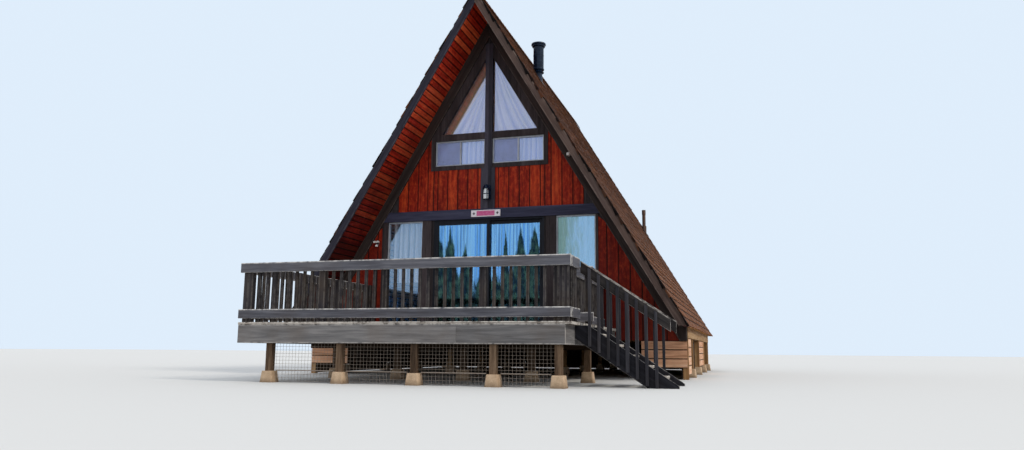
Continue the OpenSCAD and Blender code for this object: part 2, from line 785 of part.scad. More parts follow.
// Sloping rail with balusters that lap the stringer's outer face, drawn with its outer face on y0
module stair_rail(y0) {
    inner = y0 + baluster;
    board_h = rail_board_h * sqrt(1 + stair_slope * stair_slope);
    top = function (x) stair_z(x) + rail_h - stair_rail_drop;
    low = function (x) max(stair_z(x) - stringer_h + baluster_set, ground_gap);
    color("#45403f") {
        along_y(inner, inner + board_t) polygon([
            [stair_x, top(stair_x)], [stair_rail_end, top(stair_rail_end)],
            [stair_rail_end, top(stair_rail_end) - board_h], [stair_x, top(stair_x) - board_h]
        ]);
        for (x = spread(stair_x, stair_rail_end - baluster_last, baluster_step)) {
            x0 = x - baluster / 2;
            x1 = x + baluster / 2;
            along_y(y0, inner)
                polygon([[x0, top(x0) - cap_drop], [x1, top(x1) - cap_drop], [x1, low(x)], [x0, low(x)]]);
        }
    }
}
module stair_rails() {
    stair_rail(stair_front - baluster);
    translate([0, 2 * stair_rear + baluster, 0]) mirror([0, 1, 0]) stair_rail(stair_rear);
}

// Pipes on the right slope
module roof_hole(x, y, d) {
    translate([x, y, roof_z(0, x) - 2 * d]) cylinder(d = d, h = 4 * d);
}
module pipe_hole() {
    roof_hole(pipe_x, wall_y + pipe_y, pipe_low_d);
    translate([pipe_x, wall_y + pipe_y, pipe_ring_z - fit])
        cylinder(d = pipe_ring_d + 2 * fit, h = pipe_upper_l);
}
module vent_hole() {
    roof_hole(vent_x, rear_y - vent_set, vent_d);
}
module below_roof() {
    along_y(roof_front, roof_rear) slope_band(shingle_thick, 1000, eave_z, -1000);
}
// The stovepipe: a narrow foot, a ring, the wide pipe and its cap
module stovepipe() {
    low = roof_z(0, pipe_x) - 2 * pipe_low_d;
    cap_t = 50;
    neck_t = 40;
    ring_t = 36;
    color("#1f2124") difference() {
        translate([pipe_x, wall_y + pipe_y, 0]) {
            translate([0, 0, low]) cylinder(d = pipe_low_d, h = pipe_ring_z + ring_t - low);
            translate([0, 0, pipe_ring_z]) cylinder(d = pipe_ring_d, h = ring_t);
            translate([0, 0, pipe_ring_z]) cylinder(d = pipe_d, h = pipe_upper_l - cap_t);
            translate([0, 0, pipe_top - cap_t - neck_t]) cylinder(d = pipe_cap_d - 40, h = neck_t);
            translate([0, 0, pipe_top - cap_t]) cylinder(d = pipe_cap_d, h = cap_t);
        }
        below_roof();
    }
}
module vent_pipe() {
    low = roof_z(0, vent_x) - 2 * vent_d;
    color("#6b5142") difference() {
        translate([vent_x, rear_y - vent_set, low]) cylinder(d = vent_d, h = vent_l + 2 * vent_d);
        below_roof();
    }
}

// Small fittings on the front
module wall_lantern() {
    y1 = wall_y - header_t;
    body_y = y1 - 100;
    plate_t = 20;
    hood_h = 90;
    color("#1d1c1c") translate([lantern_x, 0, lantern_z]) {
        block(-60, 60, y1 - plate_t, y1, 20, lantern_h);
        translate([0, body_y, 0]) cylinder(d = lantern_d, h = lantern_h - hood_h / 2);
        block(-12, 12, body_y, y1 - plate_t / 2, lantern_h - 40, lantern_h - 15);
        translate([0, body_y, lantern_h - hood_h]) cylinder(d = lantern_d + 20, h = hood_h - 5);
    }
}
module door_board() {
    y1 = wall_y - header_t;
    low = header_z + (header_h - board_h) / 2;
    color("#e6e2e0") block(board_x - board_w / 2, board_x + board_w / 2, y1 - 20, y1, low, low + board_h);
}
module lamp_at(x, y, z, d, l) {
    translate([x, y, z]) rotate([90, 0, 0]) cylinder(d = d, h = l);
}
module outside_lamps() {
    base_z = spot_z - 40;
    base_t = 30;
    color("#eeeeea") {
        lamp_at(spot_x, wall_y, base_z, 56, base_t);
        for (s = [-1, 1]) lamp_at(spot_x + s * 27, wall_y - base_t + 10, base_z + 27, 50, 90);
        lamp_at(spot_x - 6, wall_y - base_t + 10, base_z - 42, 44, 60);
        lamp_at(round_x, wall_y - rafter_t, round_z, 72, 80);
    }
}

roof_deck_left();
roof_deck_right();
shingles_left();
shingles_right();
ridge_cap();
front_barge_boards();
rear_barge_boards();
front_rafters();
rear_rafters();
front_wall_left();
front_wall_right();
front_wall_upper();
rear_wall();
header_band();
centre_post();
window_trim();
rear_trim();
gable_glass();
window_frames();
window_glass();
door_frame();
fixed_door_panel();
sliding_door_panel();
sliding_door_glass();
gable_curtains();
loft_curtains();
lower_curtains();
cabin_floor();
loft_floor();
floor_beams();
floor_joists();
cabin_posts();
pier_blocks();
skirt_boards();
crawl_boards();
deck_floor();
deck_fascia();
deck_beams();
deck_joists();
deck_posts();
deck_mesh();
railing_front();
railing_left();
railing_right();
stair_stringers();
stair_treads();
stair_rails();
stovepipe();
vent_pipe();
wall_lantern();
door_board();
outside_lamps();
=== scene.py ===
"""Looks of the a-frame cabin: every board, shingle, wire, pane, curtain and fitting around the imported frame.

Lengths are in metres, in the frame's own axes: X to the right along the front, Y from the front to the back,
Z up.
"""

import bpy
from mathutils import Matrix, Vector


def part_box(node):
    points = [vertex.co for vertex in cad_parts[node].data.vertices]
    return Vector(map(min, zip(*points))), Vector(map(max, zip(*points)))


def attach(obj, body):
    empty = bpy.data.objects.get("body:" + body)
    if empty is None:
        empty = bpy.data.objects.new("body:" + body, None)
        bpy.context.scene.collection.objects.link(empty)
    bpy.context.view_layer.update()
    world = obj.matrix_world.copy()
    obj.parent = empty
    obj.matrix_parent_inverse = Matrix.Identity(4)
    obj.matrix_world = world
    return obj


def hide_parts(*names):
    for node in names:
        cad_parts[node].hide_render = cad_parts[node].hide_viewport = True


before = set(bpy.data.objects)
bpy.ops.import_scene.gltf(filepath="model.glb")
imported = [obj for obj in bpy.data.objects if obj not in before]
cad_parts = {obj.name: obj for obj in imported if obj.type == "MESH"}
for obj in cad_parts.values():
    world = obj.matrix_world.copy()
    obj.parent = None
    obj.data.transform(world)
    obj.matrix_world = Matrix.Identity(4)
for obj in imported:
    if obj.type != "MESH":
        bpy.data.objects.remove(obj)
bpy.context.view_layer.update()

import math

import bpy
import numpy as np
from mathutils import Matrix


def low(node):
    return [float(v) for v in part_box(node)[0]]


def high(node):
    return [float(v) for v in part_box(node)[1]]


def middle(node):
    return [(a + b) / 2 for a, b in zip(low(node), high(node))]


# Levels and places read from the frame
FLOOR = high("deck_floor")[2]
DECK_LEFT, DECK_FRONT, DECK_UNDER = low("deck_floor")
HALF, WALL, _ = high("deck_floor")
REAR = high("rear_wall")[1]
ROOF_FRONT, ROOF_REAR = low("shingles_right")[1], high("shingles_right")[1]
ROOF_HALF, _, RIDGE = high("shingles_right")
EAVE = low("shingles_right")[2]
SLOPE = (RIDGE - EAVE) / ROOF_HALF
LEAN = math.hypot(1, SLOPE)
HEADER_LOW, HEADER_HIGH = low("header_band")[2], high("header_band")[2]
WALL_FOOT = low("rear_wall")[2]
RAIL_TOP = high("railing_front")[2]
POST_W = 0.092
BOARD_T = 0.038
DOOR_HALF = 1.12

# Depths below the top of the shingles, square to the slope
SHINGLE_T = 0.024
SOFFIT_D = 0.13
BARGE_D = 0.15
RAFTER_OUT = 0.1305
RAFTER_IN = 0.3145
SIDING_D = 0.30
GLASS_INSET = 0.465
REVEAL = 0.178

UP, RIGHT, LEFT, FRONT, BACK = (0, 0, 1), (1, 0, 0), (-1, 0, 0), (0, -1, 0), (0, 1, 0)

rng = np.random.default_rng(41)


# Camera at the photograph's viewing angle
CAMERA_AT = (4.542, -15.584, 0.468)
CAMERA_YAW = math.radians(16.740)
CAMERA_PITCH = math.radians(9.201)
CAMERA_ROLL = math.radians(0.437)
CAMERA_LENS = 27.21


def add_camera():
    """Camera that looks along the yaw and pitch, rolled about its own axis."""
    data = bpy.data.cameras.new("camera")
    data.lens = CAMERA_LENS
    data.sensor_width = 36
    camera = bpy.data.objects.new("camera", data)
    camera.rotation_mode = "YXZ"
    tilt = Matrix.Rotation(math.pi / 2 + CAMERA_PITCH, 3, "X")
    turn = Matrix.Rotation(CAMERA_YAW, 3, "Z") @ tilt @ Matrix.Rotation(CAMERA_ROLL, 3, "Z")
    camera.matrix_world = Matrix.Translation(CAMERA_AT) @ turn.to_4x4()
    bpy.context.scene.collection.objects.link(camera)
    bpy.context.scene.camera = camera


add_camera()


# Shapes: arrays of points and faces, with each face corner's place on the grain and its distances from the
# rims
class Shape:
    """Points, faces, and for each face corner its place along and across the grain and how far it is from
    the two long edges of its face. tone is one random number for each separate board, kept on its faces."""

    def __init__(self, points, faces, grain, rims=None, tones=None):
        self.points = np.asarray(points, float).reshape(-1, 3)
        self.faces = faces
        self.grain = grain
        self.rims = rims or [np.ones(g.shape) for g in grain]
        self.tones = tones or [np.full(len(f), 0.5) for f in faces]


def joined(*shapes):
    """One shape of many, each face list moved on by the number of points before it."""
    base, parts = 0, ([], [], [], [], [])
    for s in shapes:
        for part, more in zip(parts, ([s.points], [f + base for f in s.faces], s.grain, s.rims, s.tones)):
            part.extend(more)
        base += len(s.points)
    return Shape(np.concatenate(parts[0]), *parts[1:])


def flipped(shape, axis=0):
    """Mirror image across the plane through the origin, with the faces wound the other way round."""
    points = shape.points.copy()
    points[:, axis] *= -1
    back = ([v[:, ::-1] for v in part] for part in (shape.faces, shape.grain, shape.rims))
    return Shape(points, *back, shape.tones)


def both_sides(shape):
    return joined(shape, flipped(shape))


def unit(v):
    return v / np.linalg.norm(v, axis=-1, keepdims=True)


def xyz(x, y, z):
    """Points from three coordinates, each one number or an array."""
    return np.stack(np.broadcast_arrays(x, y, z), -1)


def tubes(count, rings, sides):
    """Faces of closed tubes whose points come tube by tube and ring by ring: the walls, first ends and last
    ends."""
    j, i = np.meshgrid(np.arange(rings - 1) * sides, np.arange(sides), indexing="ij")
    nxt = (i + 1) % sides
    walls = np.stack([j + i, j + nxt, j + nxt + sides, j + i + sides], -1).reshape(-1, 4)
    ends = np.arange(sides)[None]
    start = np.arange(count)[:, None, None] * rings * sides
    return [(start + f).reshape(-1, f.shape[1]) for f in (walls, ends[:, ::-1], ends + (rings - 1) * sides)]


def inset(outline, chamfer, limit=0.999):
    """Corners moved inward until they lie one chamfer from both of their edges."""
    before, after = unit(np.roll(outline, 1, -2) - outline), unit(np.roll(outline, -1, -2) - outline)
    cosine = np.clip((before * after).sum(-1, keepdims=True), -limit, limit)
    return outline + (before + after) * chamfer / np.sqrt(1 - cosine**2)


def boards(starts, ends, facing, width, thick, chamfer=0.003, cut_a=0.0, cut_b=0.0, rings=2, bow=0.0):
    """Boards with cut corners: a rectangle with its four corners cut off, carried along a straight line
    from each start to each end. facing is the direction of the broad side. A cut leans an end over by that
    much along the board for each metre across it, and bow bends the board by a slow sine wave of that
    size."""
    a, b = np.broadcast_arrays(*(np.atleast_2d(np.asarray(v, float)) for v in (starts, ends)))
    n = len(a)
    along = unit(b - a)
    out = np.broadcast_to(np.asarray(facing, float), a.shape)
    side = unit(np.cross(out, along))
    out = np.cross(along, side)
    w, t = (np.broadcast_to(np.asarray(v, float), n) / 2 for v in (width, thick))
    c = np.minimum(chamfer, np.minimum(w, t) * 0.6)
    across = np.stack([-w + c, w - c, w, w, w - c, -w + c, -w, -w], 1)
    depth = np.stack([-t, -t, -t + c, t - c, t, t, t - c, -t + c], 1)
    share = np.linspace(0, 1, rings)
    length = np.linalg.norm(b - a, axis=1)
    lean = (1 - share)[None, :, None] * np.broadcast_to(cut_a, n)[:, None, None]
    lean = lean + share[None, :, None] * np.broadcast_to(cut_b, n)[:, None, None]
    run = share[None, :, None] * length[:, None, None] + lean * across[:, None, :]
    wave = bow * np.sin(share * math.pi * 2 + rng.uniform(0, 6, (n, 1))) * np.sin(share * math.pi)
    points = (
        a[:, None, None, :]
        + along[:, None, None, :] * run[..., None]
        + side[:, None, None, :] * (across[:, None, :] + 0.5 * wave[:, :, None])[..., None]
        + out[:, None, None, :] * (depth[:, None, :] + wave[:, :, None])[..., None]
    )
    edge = np.hypot(np.roll(across, -1, 1) - across, np.roll(depth, -1, 1) - depth)
    v1 = np.cumsum(edge, 1)

    def corners(*values):
        """Values at the four corners of each long face, the same between all rings."""
        return np.repeat(np.stack(np.broadcast_arrays(*values), -1)[:, None], rings - 1, 1).reshape(-1, 4)

    faces = tubes(n, rings, 8)
    grain = np.stack([run.ravel()[faces[0]], corners(v1 - edge, v1, v1, v1 - edge)], -1)
    rims = np.stack([corners(0, edge, edge, 0), corners(edge, 0, 0, edge)], -1)
    caps = [np.stack([across[:, ::k] * 0.1, depth[:, ::k]], -1) for k in (-1, 1)]
    tone = rng.uniform(0, 1, n)
    tones = [np.repeat(tone, (rings - 1) * 8), tone, tone]
    return Shape(points, faces, [grain] + caps, [rims] + [np.full(g.shape, 0.004) for g in caps], tones)


def slabs(quads, y0, y1, chamfer=0.003, upright=True):
    """Flat boards seen from the front: four corners in X and Z for each, carried from y0 back to y1, with
    the edges of the front face cut by the chamfer. The grain runs up the board, or along it when upright is
    off. The rims of a front face are the distances to its two upright edges."""
    q = np.asarray(quads, float).reshape(-1, 4, 2)
    n = len(q)
    y0, y1 = (np.broadcast_to(y, n)[:, None] for y in (y0, y1))
    layers = ((inset(q, chamfer), y0), (q, y0 + chamfer), (q, y1))
    points = np.stack([xyz(xz[..., 0], y, xz[..., 1]) for xz, y in layers], 1).reshape(-1, 3)
    area = (q[:, :, 0] * np.roll(q[:, :, 1], -1, 1) - np.roll(q[:, :, 0], -1, 1) * q[:, :, 1]).sum(1)
    turned_over = np.concatenate([np.repeat(area > 0, 8), area > 0, area > 0])[:, None]
    faces = np.concatenate(tubes(n, 3, 4))
    faces = np.where(turned_over, faces[:, ::-1], faces)
    at = points[faces]
    lengthwise, crosswise = (at[..., 2], at[..., 0]) if upright else (at[..., 0], at[..., 2])
    tone = rng.uniform(0, 1, n)
    rims = np.full((len(faces), 4, 2), 0.02)
    rims[: n * 8] = 0.002
    wide = np.abs(q[:, 1, 0] - q[:, 0, 0])
    near, far = np.stack([0 * wide, wide], -1), np.stack([wide, 0 * wide], -1)
    rims[n * 8 : n * 9] = np.stack([near, far, far, near], 1)
    grain = np.stack([lengthwise, crosswise + at[..., 1]], -1)
    return Shape(points, [faces], [grain], [rims], [np.concatenate([np.repeat(tone, 8), tone, tone])])


BLOCK_FACES = np.array([
    [0, 1, 3, 2], [4, 6, 7, 5], [0, 4, 5, 1], [2, 3, 7, 6], [0, 2, 6, 4], [1, 5, 7, 3]
])


def wedges(corners, grain, from_end=None):
    """Six-sided solids from their eight corners each, counted lengthwise, across and outward. from_end
    gives each corner's distance from the solid's lower end, kept in the rims map."""
    p = np.asarray(corners, float).reshape(-1, 8, 3)
    n = len(p)
    faces = (np.arange(n)[:, None, None] * 8 + BLOCK_FACES[None]).reshape(-1, 4)
    uv = np.asarray(grain, float).reshape(-1, 8, 2)[:, BLOCK_FACES].reshape(-1, 4, 2)
    a, b, c = (p[:, BLOCK_FACES[0, i]] for i in (0, 1, 2))
    outward = (np.cross(b - a, c - a) * (a - p.mean(1))).sum(1) > 0
    keep = np.repeat(outward, 6)
    faces = np.where(keep[:, None], faces, faces[:, ::-1])
    uv = np.where(keep[:, None, None], uv, uv[:, ::-1])
    tone = np.repeat(rng.uniform(0, 1, n), 6)
    if from_end is None:
        return Shape(p, [faces], [uv], None, [tone])
    far = np.asarray(from_end, float).ravel()[faces]
    return Shape(p, [faces], [uv], [np.stack([far, far], -1)], [tone])


def carried(layers):
    """Points and faces of one outline in X and Z, anticlockwise from the front, carried back through pairs
    of outline and Y."""
    points = np.concatenate([np.insert(np.asarray(xz, float), 1, y, 1) for xz, y in layers])
    walls, front, back = tubes(1, len(layers), len(layers[0][0]))
    return points, walls[:, [0, 3, 2, 1]], front[:, ::-1], back[:, ::-1]


def turned(profile, centre, sides=32):
    """A profile of radius and height turned about an upright axis through the centre, closed by flat
    ends."""
    r, h = np.asarray(profile, float).T
    a = np.arange(sides) * 2 * math.pi / sides
    ring = xyz(np.outer(r, np.cos(a)), np.outer(r, np.sin(a)), h[:, None])
    points = ring.reshape(-1, 3) + np.asarray(centre, float)
    faces = tubes(1, len(r), sides)
    run = np.concatenate([[0], np.cumsum(np.hypot(np.diff(r), np.diff(h)))])
    around = np.tile(np.arange(sides)[:, None] + [0, 1, 1, 0], (len(r) - 1, 1))
    around = around * (r.max() * 2 * math.pi / sides)
    grain = np.stack([run[faces[0] // sides], around], -1)
    return Shape(points, faces, [grain] + [points[f][..., :2] for f in faces[1:]])


def bars(starts, ends, radius, sides=6):
    """Round bars or wires: a small ring of points at each end of every line, joined by flat sides."""
    a, b = np.broadcast_arrays(*(np.atleast_2d(np.asarray(v, float)) for v in (starts, ends)))
    n = len(a)
    along = unit(b - a)
    guess = np.where(np.abs(along[:, 2:3]) > 0.9, [[1.0, 0, 0]], [[0, 0, 1.0]])
    side = unit(np.cross(along, guess))
    up = np.cross(along, side)
    angle = np.arange(sides) * 2 * math.pi / sides
    ring = (side[:, None] * np.cos(angle)[:, None] + up[:, None] * np.sin(angle)[:, None]) * radius
    points = np.stack([a[:, None] + ring, b[:, None] + ring], 1).reshape(-1, 3)
    grain = np.zeros((n * sides, 4, 2))
    grain[:, 2:, 0] = np.repeat(np.linalg.norm(b - a, axis=1), sides)[:, None]
    grain[:, 1:3, 1] = radius
    faces = tubes(n, 2, sides)
    tone = rng.uniform(0, 1, n)
    caps = [points[f][..., :2] for f in faces[1:]]
    return Shape(points, faces, [grain] + caps, None, [np.repeat(tone, sides), tone, tone])


def piece(name, shape, material, replaces=(), body="cabin", smooth=False):
    """Puts a shape into a mesh object with its grain and rim maps and its board tones, and hangs it on a
    body."""
    mesh = bpy.data.meshes.new(name)
    counts = np.concatenate([np.full(len(f), f.shape[1]) for f in shape.faces])
    corners = np.concatenate([f.ravel() for f in shape.faces]).astype(np.int32)
    mesh.vertices.add(len(shape.points))
    mesh.vertices.foreach_set("co", shape.points.ravel())
    mesh.loops.add(len(corners))
    mesh.loops.foreach_set("vertex_index", corners)
    mesh.polygons.add(len(counts))
    mesh.polygons.foreach_set("loop_start", np.concatenate([[0], np.cumsum(counts)[:-1]]).astype(np.int32))
    mesh.update(calc_edges=True)
    for layer, values in (("grain", shape.grain), ("rims", shape.rims)):
        flat = np.concatenate([v.reshape(-1, 2) for v in values])
        mesh.uv_layers.new(name=layer).uv.foreach_set("vector", flat.ravel())
    tones = mesh.attributes.new("tone", "FLOAT", "FACE")
    tones.data.foreach_set("value", np.concatenate(shape.tones).astype(np.float32))
    mesh.polygons.foreach_set("use_smooth", np.full(len(counts), smooth))
    mesh.materials.append(material)
    obj = bpy.data.objects.new(name, mesh)
    bpy.context.scene.collection.objects.link(obj)
    if smooth:
        with bpy.context.temp_override(object=obj, active_object=obj, selected_editable_objects=[obj]):
            bpy.ops.object.shade_smooth_by_angle(angle=math.radians(35))
    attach(obj, body)
    if replaces:
        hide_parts(*replaces)
    return obj


# Materials. A colour is a screen colour in six hexadecimal digits.
def srgb(colour):
    """Screen colour as the linear colour that a shader takes."""
    c = np.array([int(colour[i : i + 2], 16) for i in (0, 2, 4)]) / 255
    c = np.where(c <= 0.04045, c / 12.92, ((c + 0.055) / 1.055) ** 2.4)
    return (*(float(v) for v in c), 1.0)


class Nodes:
    """Shader nodes under construction: makes nodes and links them in the order that they are used."""

    def __init__(self, tree):
        self.tree = tree

    def node(self, kind, inputs=None, **settings):
        made = self.tree.nodes.new("ShaderNode" + kind)
        for key, value in settings.items():
            setattr(made, key, value)
        for key, value in (inputs or {}).items():
            self.put(made.inputs[key], value)
        return made

    def put(self, socket, value):
        if isinstance(value, bpy.types.NodeSocket):
            self.tree.links.new(value, socket)
        else:
            socket.default_value = srgb(value) if isinstance(value, str) else value

    def part(self, vector, axis):
        return self.node("SeparateXYZ", {"Vector": vector}).outputs[axis]

    def math(self, operation, a, b=0.0, clamp=False):
        return self.node("Math", {0: a, 1: b}, operation=operation, use_clamp=clamp).outputs[0]

    def add(self, a, b):
        return self.math("ADD", a, b)

    def times(self, a, b):
        return self.math("MULTIPLY", a, b)

    def vector(self, operation, a, b):
        return self.node("VectorMath", {0: a, 1: b}, operation=operation).outputs[0]

    def noise(self, at, scale, detail, rough, warp=0.0):
        """Noise at one scale, or at a scale for each of the three axes."""
        if isinstance(scale, tuple):
            at, scale = self.vector("MULTIPLY", at, scale), 1.0
        inputs = {"Vector": at, "Scale": scale, "Detail": detail, "Roughness": rough, "Distortion": warp}
        return self.node("TexNoise", inputs).outputs["Fac"]

    def cells(self, at, scale):
        return self.node("TexVoronoi", {"Vector": at, "Scale": scale}).outputs["Distance"]

    def spread(self, value, a, b, to_a=0.0, to_b=1.0):
        inputs = {"Value": value, "From Min": a, "From Max": b, "To Min": to_a, "To Max": to_b}
        return self.node("MapRange", inputs).outputs[0]

    def between(self, value, edge, soft):
        """Rises from 0 to 1 as the value passes the edge, over a width of soft."""
        return self.spread(value, edge - soft / 2, edge + soft / 2)

    def mix(self, share, a, b):
        made = self.node("Mix", data_type="RGBA", blend_type="MIX")
        for key, value in (("Factor_Float", share), ("A_Color", a), ("B_Color", b)):
            self.put(next(s for s in made.inputs if s.identifier == key), value)
        return next(s for s in made.outputs if s.identifier == "Result_Color")

    def over(self, colour, value, a, b, to_a, to_b, other):
        """The other colour laid over the first by a share that runs from to_a to to_b as value runs from a
        to b."""
        return self.mix(self.spread(value, a, b, to_a, to_b), colour, other)

    def ramp(self, value, *stops):
        made = self.node("ValToRGB", {"Fac": value})
        steps = made.color_ramp.elements
        for at, _ in stops[2:]:
            steps.new(at)
        for step, (at, colour) in zip(steps, stops):
            step.position = at
            step.color = srgb(colour)
        return made.outputs["Color"]


class Finish(Nodes):
    """A material under construction."""

    def __init__(self, name):
        self.material = bpy.data.materials.new(name)
        self.material.use_nodes = True
        super().__init__(self.material.node_tree)
        self.shader = self.tree.nodes["Principled BSDF"]
        self.out = self.tree.nodes["Material Output"]

    def set(self, **values):
        for key, value in values.items():
            self.put(self.shader.inputs[key.replace("_", " ")], value)

    def uv(self, layer):
        return self.node("UVMap", uv_map=layer).outputs[0]

    def tone(self):
        return self.node("Attribute", attribute_name="tone", attribute_type="GEOMETRY").outputs["Fac"]

    def place(self):
        return self.node("TexCoord").outputs["Object"]

    def bump(self, height, distance=0.002, strength=0.5):
        made = self.node("Bump", {"Height": height, "Distance": distance, "Strength": strength})
        self.put(self.shader.inputs["Normal"], made.outputs[0])


def stretched(f, grain_axis, fine):
    """Coordinates in which the grain is long one way and tight the other two: from the grain map of a
    board, or from the object's own axes on a CAD piece whose boards all run along one axis."""
    if grain_axis == "map":
        tone = f.tone()
        shift = f.node("CombineXYZ", {"X": f.times(tone, 37.0), "Y": f.times(tone, 91.0)})
        at = f.vector("ADD", f.uv("grain"), shift.outputs[0])
        return f.vector("MULTIPLY", at, (1.0, fine, 1.0)), tone
    at = f.place()
    sizes = tuple(1.0 if axis == grain_axis else fine for axis in "xyz")
    cell = f.vector("MULTIPLY", at, tuple(0.0 if axis == grain_axis else 3.1 for axis in "xyz"))
    tone = f.node("TexWhiteNoise", {"Vector": f.vector("SNAP", cell, (0.5, 0.5, 0.5))}).outputs["Value"]
    return f.vector("MULTIPLY", at, sizes), tone


def wood(name, tones, worn=None, grain="map", fine=16.0, tone_share=0.25, wear=0.5, top_edge=False,
         rough=0.75, bump=0.0016, knots=0.0, fade=None, gaps=0.0, gap_w=0.0065, runs=None, inner=None,
         low=None, worn_w=0.016, mottle=0.0):
    """Stained, painted or bare boards in three tones, dark to light: streaks and fibres along the grain, a
    tone for each board, dark knots, faded patches, blotches, dark joints beside the rims, runs down the
    boards, and paint worn off along the rims. inner gives a span of Y, and the three tones that the boards
    have inside it. low gives a lower and an upper level, a share and a colour: painted shade that comes in
    below the upper level, in clouds, and reaches that share at the lower level."""
    f = Finish(name)
    dark, _, light = tones.split()
    place = f.place()
    at, tone = stretched(f, grain, fine)
    streaks = f.noise(at, 1.3, 6.0, 0.62, 0.4)
    grainy = f.add(f.times(streaks, 0.65), f.times(f.noise(at, (3.0, 9.0, 9.0), 4.0, 0.7), 0.35))
    toned = f.add(grainy, f.times(f.math("SUBTRACT", tone, 0.5), tone_share))

    def tinted(three):
        return f.ramp(toned, *zip((0.25, 0.5, 0.75), three.split()))

    colour = tinted(tones)
    if runs:
        run = f.noise(place, (9.0, 9.0, 0.9), 5.0, 0.6)
        colour = f.over(colour, run, 0.5, 0.72, 0.0, 0.75, dark)
        colour = f.over(colour, run, 0.42, 0.26, 0.0, 0.6, runs)
    if mottle:
        blotch = f.noise(place, (17.0, 17.0, 9.0), 4.0, 0.7)
        colour = f.over(colour, blotch, 0.5, 0.68, 0.0, mottle, dark)
        colour = f.over(colour, blotch, 0.5, 0.32, 0.0, mottle, light)
    if fade:
        colour = f.over(colour, f.noise(place, 1.7, 5.0, 0.65), 0.46, 0.72, 0.0, 0.4, fade)
    # low paints shade: another colour comes in towards the bottom
    if low:
        cloud = f.spread(f.noise(place, 1.1, 5.0, 0.6), 0.3, 0.7, -0.9, 0.9)
        colour = f.over(colour, f.add(f.part(place, "Z"), cloud), *low[:3], 0.0, low[3])
    if inner:
        y = f.part(place, "Y")
        inside = f.times(f.between(y, inner[0], 0.002), f.between(y, inner[1], -0.002))
        colour = f.mix(inside, colour, tinted(inner[2]))
    if knots:
        knot = f.spread(f.cells(f.vector("MULTIPLY", at, (1.0, 0.28, 0.28)), 1.6), 0.035, 0.085, 1.0, 0.0)
        colour = f.mix(f.times(knot, knots), colour, dark)
    if gaps or worn:
        near, far = (f.part(f.uv("rims"), axis) for axis in "XY")
        rim = f.math("MINIMUM", near, far)
    if gaps:
        colour = f.over(colour, rim, gap_w * 0.5, gap_w, gaps, 0.0, "0c0707")
    if worn:
        edge = f.spread(near if top_edge else rim, worn_w / 4, worn_w, 1.0, 0.0)
        chips = f.spread(f.noise(place, 9.0, 6.0, 0.7), 0.38, 0.56)
        colour = f.mix(f.math("MULTIPLY", f.times(edge, chips), wear, True), colour, worn)
    f.set(Base_Color=colour, Specular_IOR_Level=0.12,
          Roughness=f.spread(streaks, 0.3, 0.7, rough + 0.1, rough - 0.1))
    f.bump(grainy, bump, 0.6)
    return f.material


def shingle_finish():
    """Weathered wood shingles: a tone for each, split grain down the slope, a pale worn butt, painted shade
    under the butts of the course above, grey bleaching, painted sunlight on the lower part, a little moss,
    and painted shadow on the ends at the front rake. The rims map holds how far a point is from its butt."""
    f = Finish("weathered_shingle")
    place = f.place()
    at, tone = stretched(f, "map", 30.0)
    splits = f.noise(at, 2.2, 6.0, 0.7, 0.3)
    toned = f.add(f.times(splits, 0.85), f.times(tone, 0.34))
    colour = f.ramp(toned, (0.26, "1a100d"), (0.58, "4a2e24"), (0.95, "925a3c"))
    colour = f.over(colour, f.noise(place, 0.9, 5.0, 0.6), 0.45, 0.68, 0.0, 0.4, "423834")
    # painted sunlight on the lower part of the slope
    painted_sun = f.times(f.spread(f.part(place, "Z"), 1.2, 4.6, 0.45, 0.0), f.spread(splits, 0.3, 0.6))
    colour = f.mix(painted_sun, colour, "a2704e")
    colour = f.over(colour, f.noise(place, 5.5, 6.0, 0.75), 0.64, 0.73, 0.0, 0.4, "545028")
    run = f.part(f.uv("rims"), "X")
    colour = f.over(colour, run, 0.02, 0.004, 0.0, 0.3, "a06c4a")
    # painted shade under the butts of the course above
    colour = f.over(colour, run, REVEAL - 0.06, REVEAL - 0.012, 0.0, 0.9, "140d0b")
    # painted shadow on the shingle ends at the front rake
    rake = f.add(f.part(place, "Y"), f.spread(tone, 0.0, 1.0, -0.02, 0.02))
    rake = f.spread(rake, ROOF_FRONT + 0.03, ROOF_FRONT + 0.06, 1.0, 0.0)
    colour = f.mix(f.times(rake, f.spread(tone, 0.45, 0.8, 1.0, 0.5)), colour, "100b0a")
    f.set(Base_Color=colour, Roughness=f.spread(splits, 0.2, 0.8, 0.95, 0.8), Specular_IOR_Level=0.1)
    f.bump(splits, 0.004, 0.8)
    return f.material


def metal(name, colour, dirt, rough=0.45, metallic=0.0, scale=14.0, streaks=True, shine=0.5):
    """Painted or bare sheet metal: dust in patches, streaks that run down, and fine uneven gloss. On the
    black paint, the blue of the colour and of the patches is a painted reflection of the sky.
    """
    f = Finish(name)
    patches = f.noise(f.place(), scale, 6.0, 0.65)
    dust = f.times(patches, f.noise(f.place(), (26.0, 26.0, 1.6), 4.0, 0.6)) if streaks else patches
    f.set(Base_Color=f.over(colour, dust, 0.2, 0.42, 0.0, 0.55, dirt), Metallic=metallic,
          Specular_IOR_Level=shine, Roughness=f.spread(patches, 0.3, 0.7, rough - 0.08, rough + 0.18))
    f.bump(patches, 0.0006, 0.35)
    return f.material


def glass(name, sheen, alpha):
    """Window glass: a share alpha of it mirrors the surroundings in the colour of its sheen, a painted sky
    tint, and the rest is clear, with a little dust."""
    f = Finish(name)
    dust = f.noise(f.place(), (3.0, 3.0, 1.2), 6.0, 0.7)
    f.set(Base_Color=f.over(sheen, dust, 0.45, 0.75, 0.0, 0.5, "ced6e0"), Metallic=0.85,
          Alpha=f.spread(dust, 0.4, 0.8, alpha, alpha + 0.06), Roughness=f.spread(dust, 0.4, 0.8, 0.03, 0.09))
    return f.material


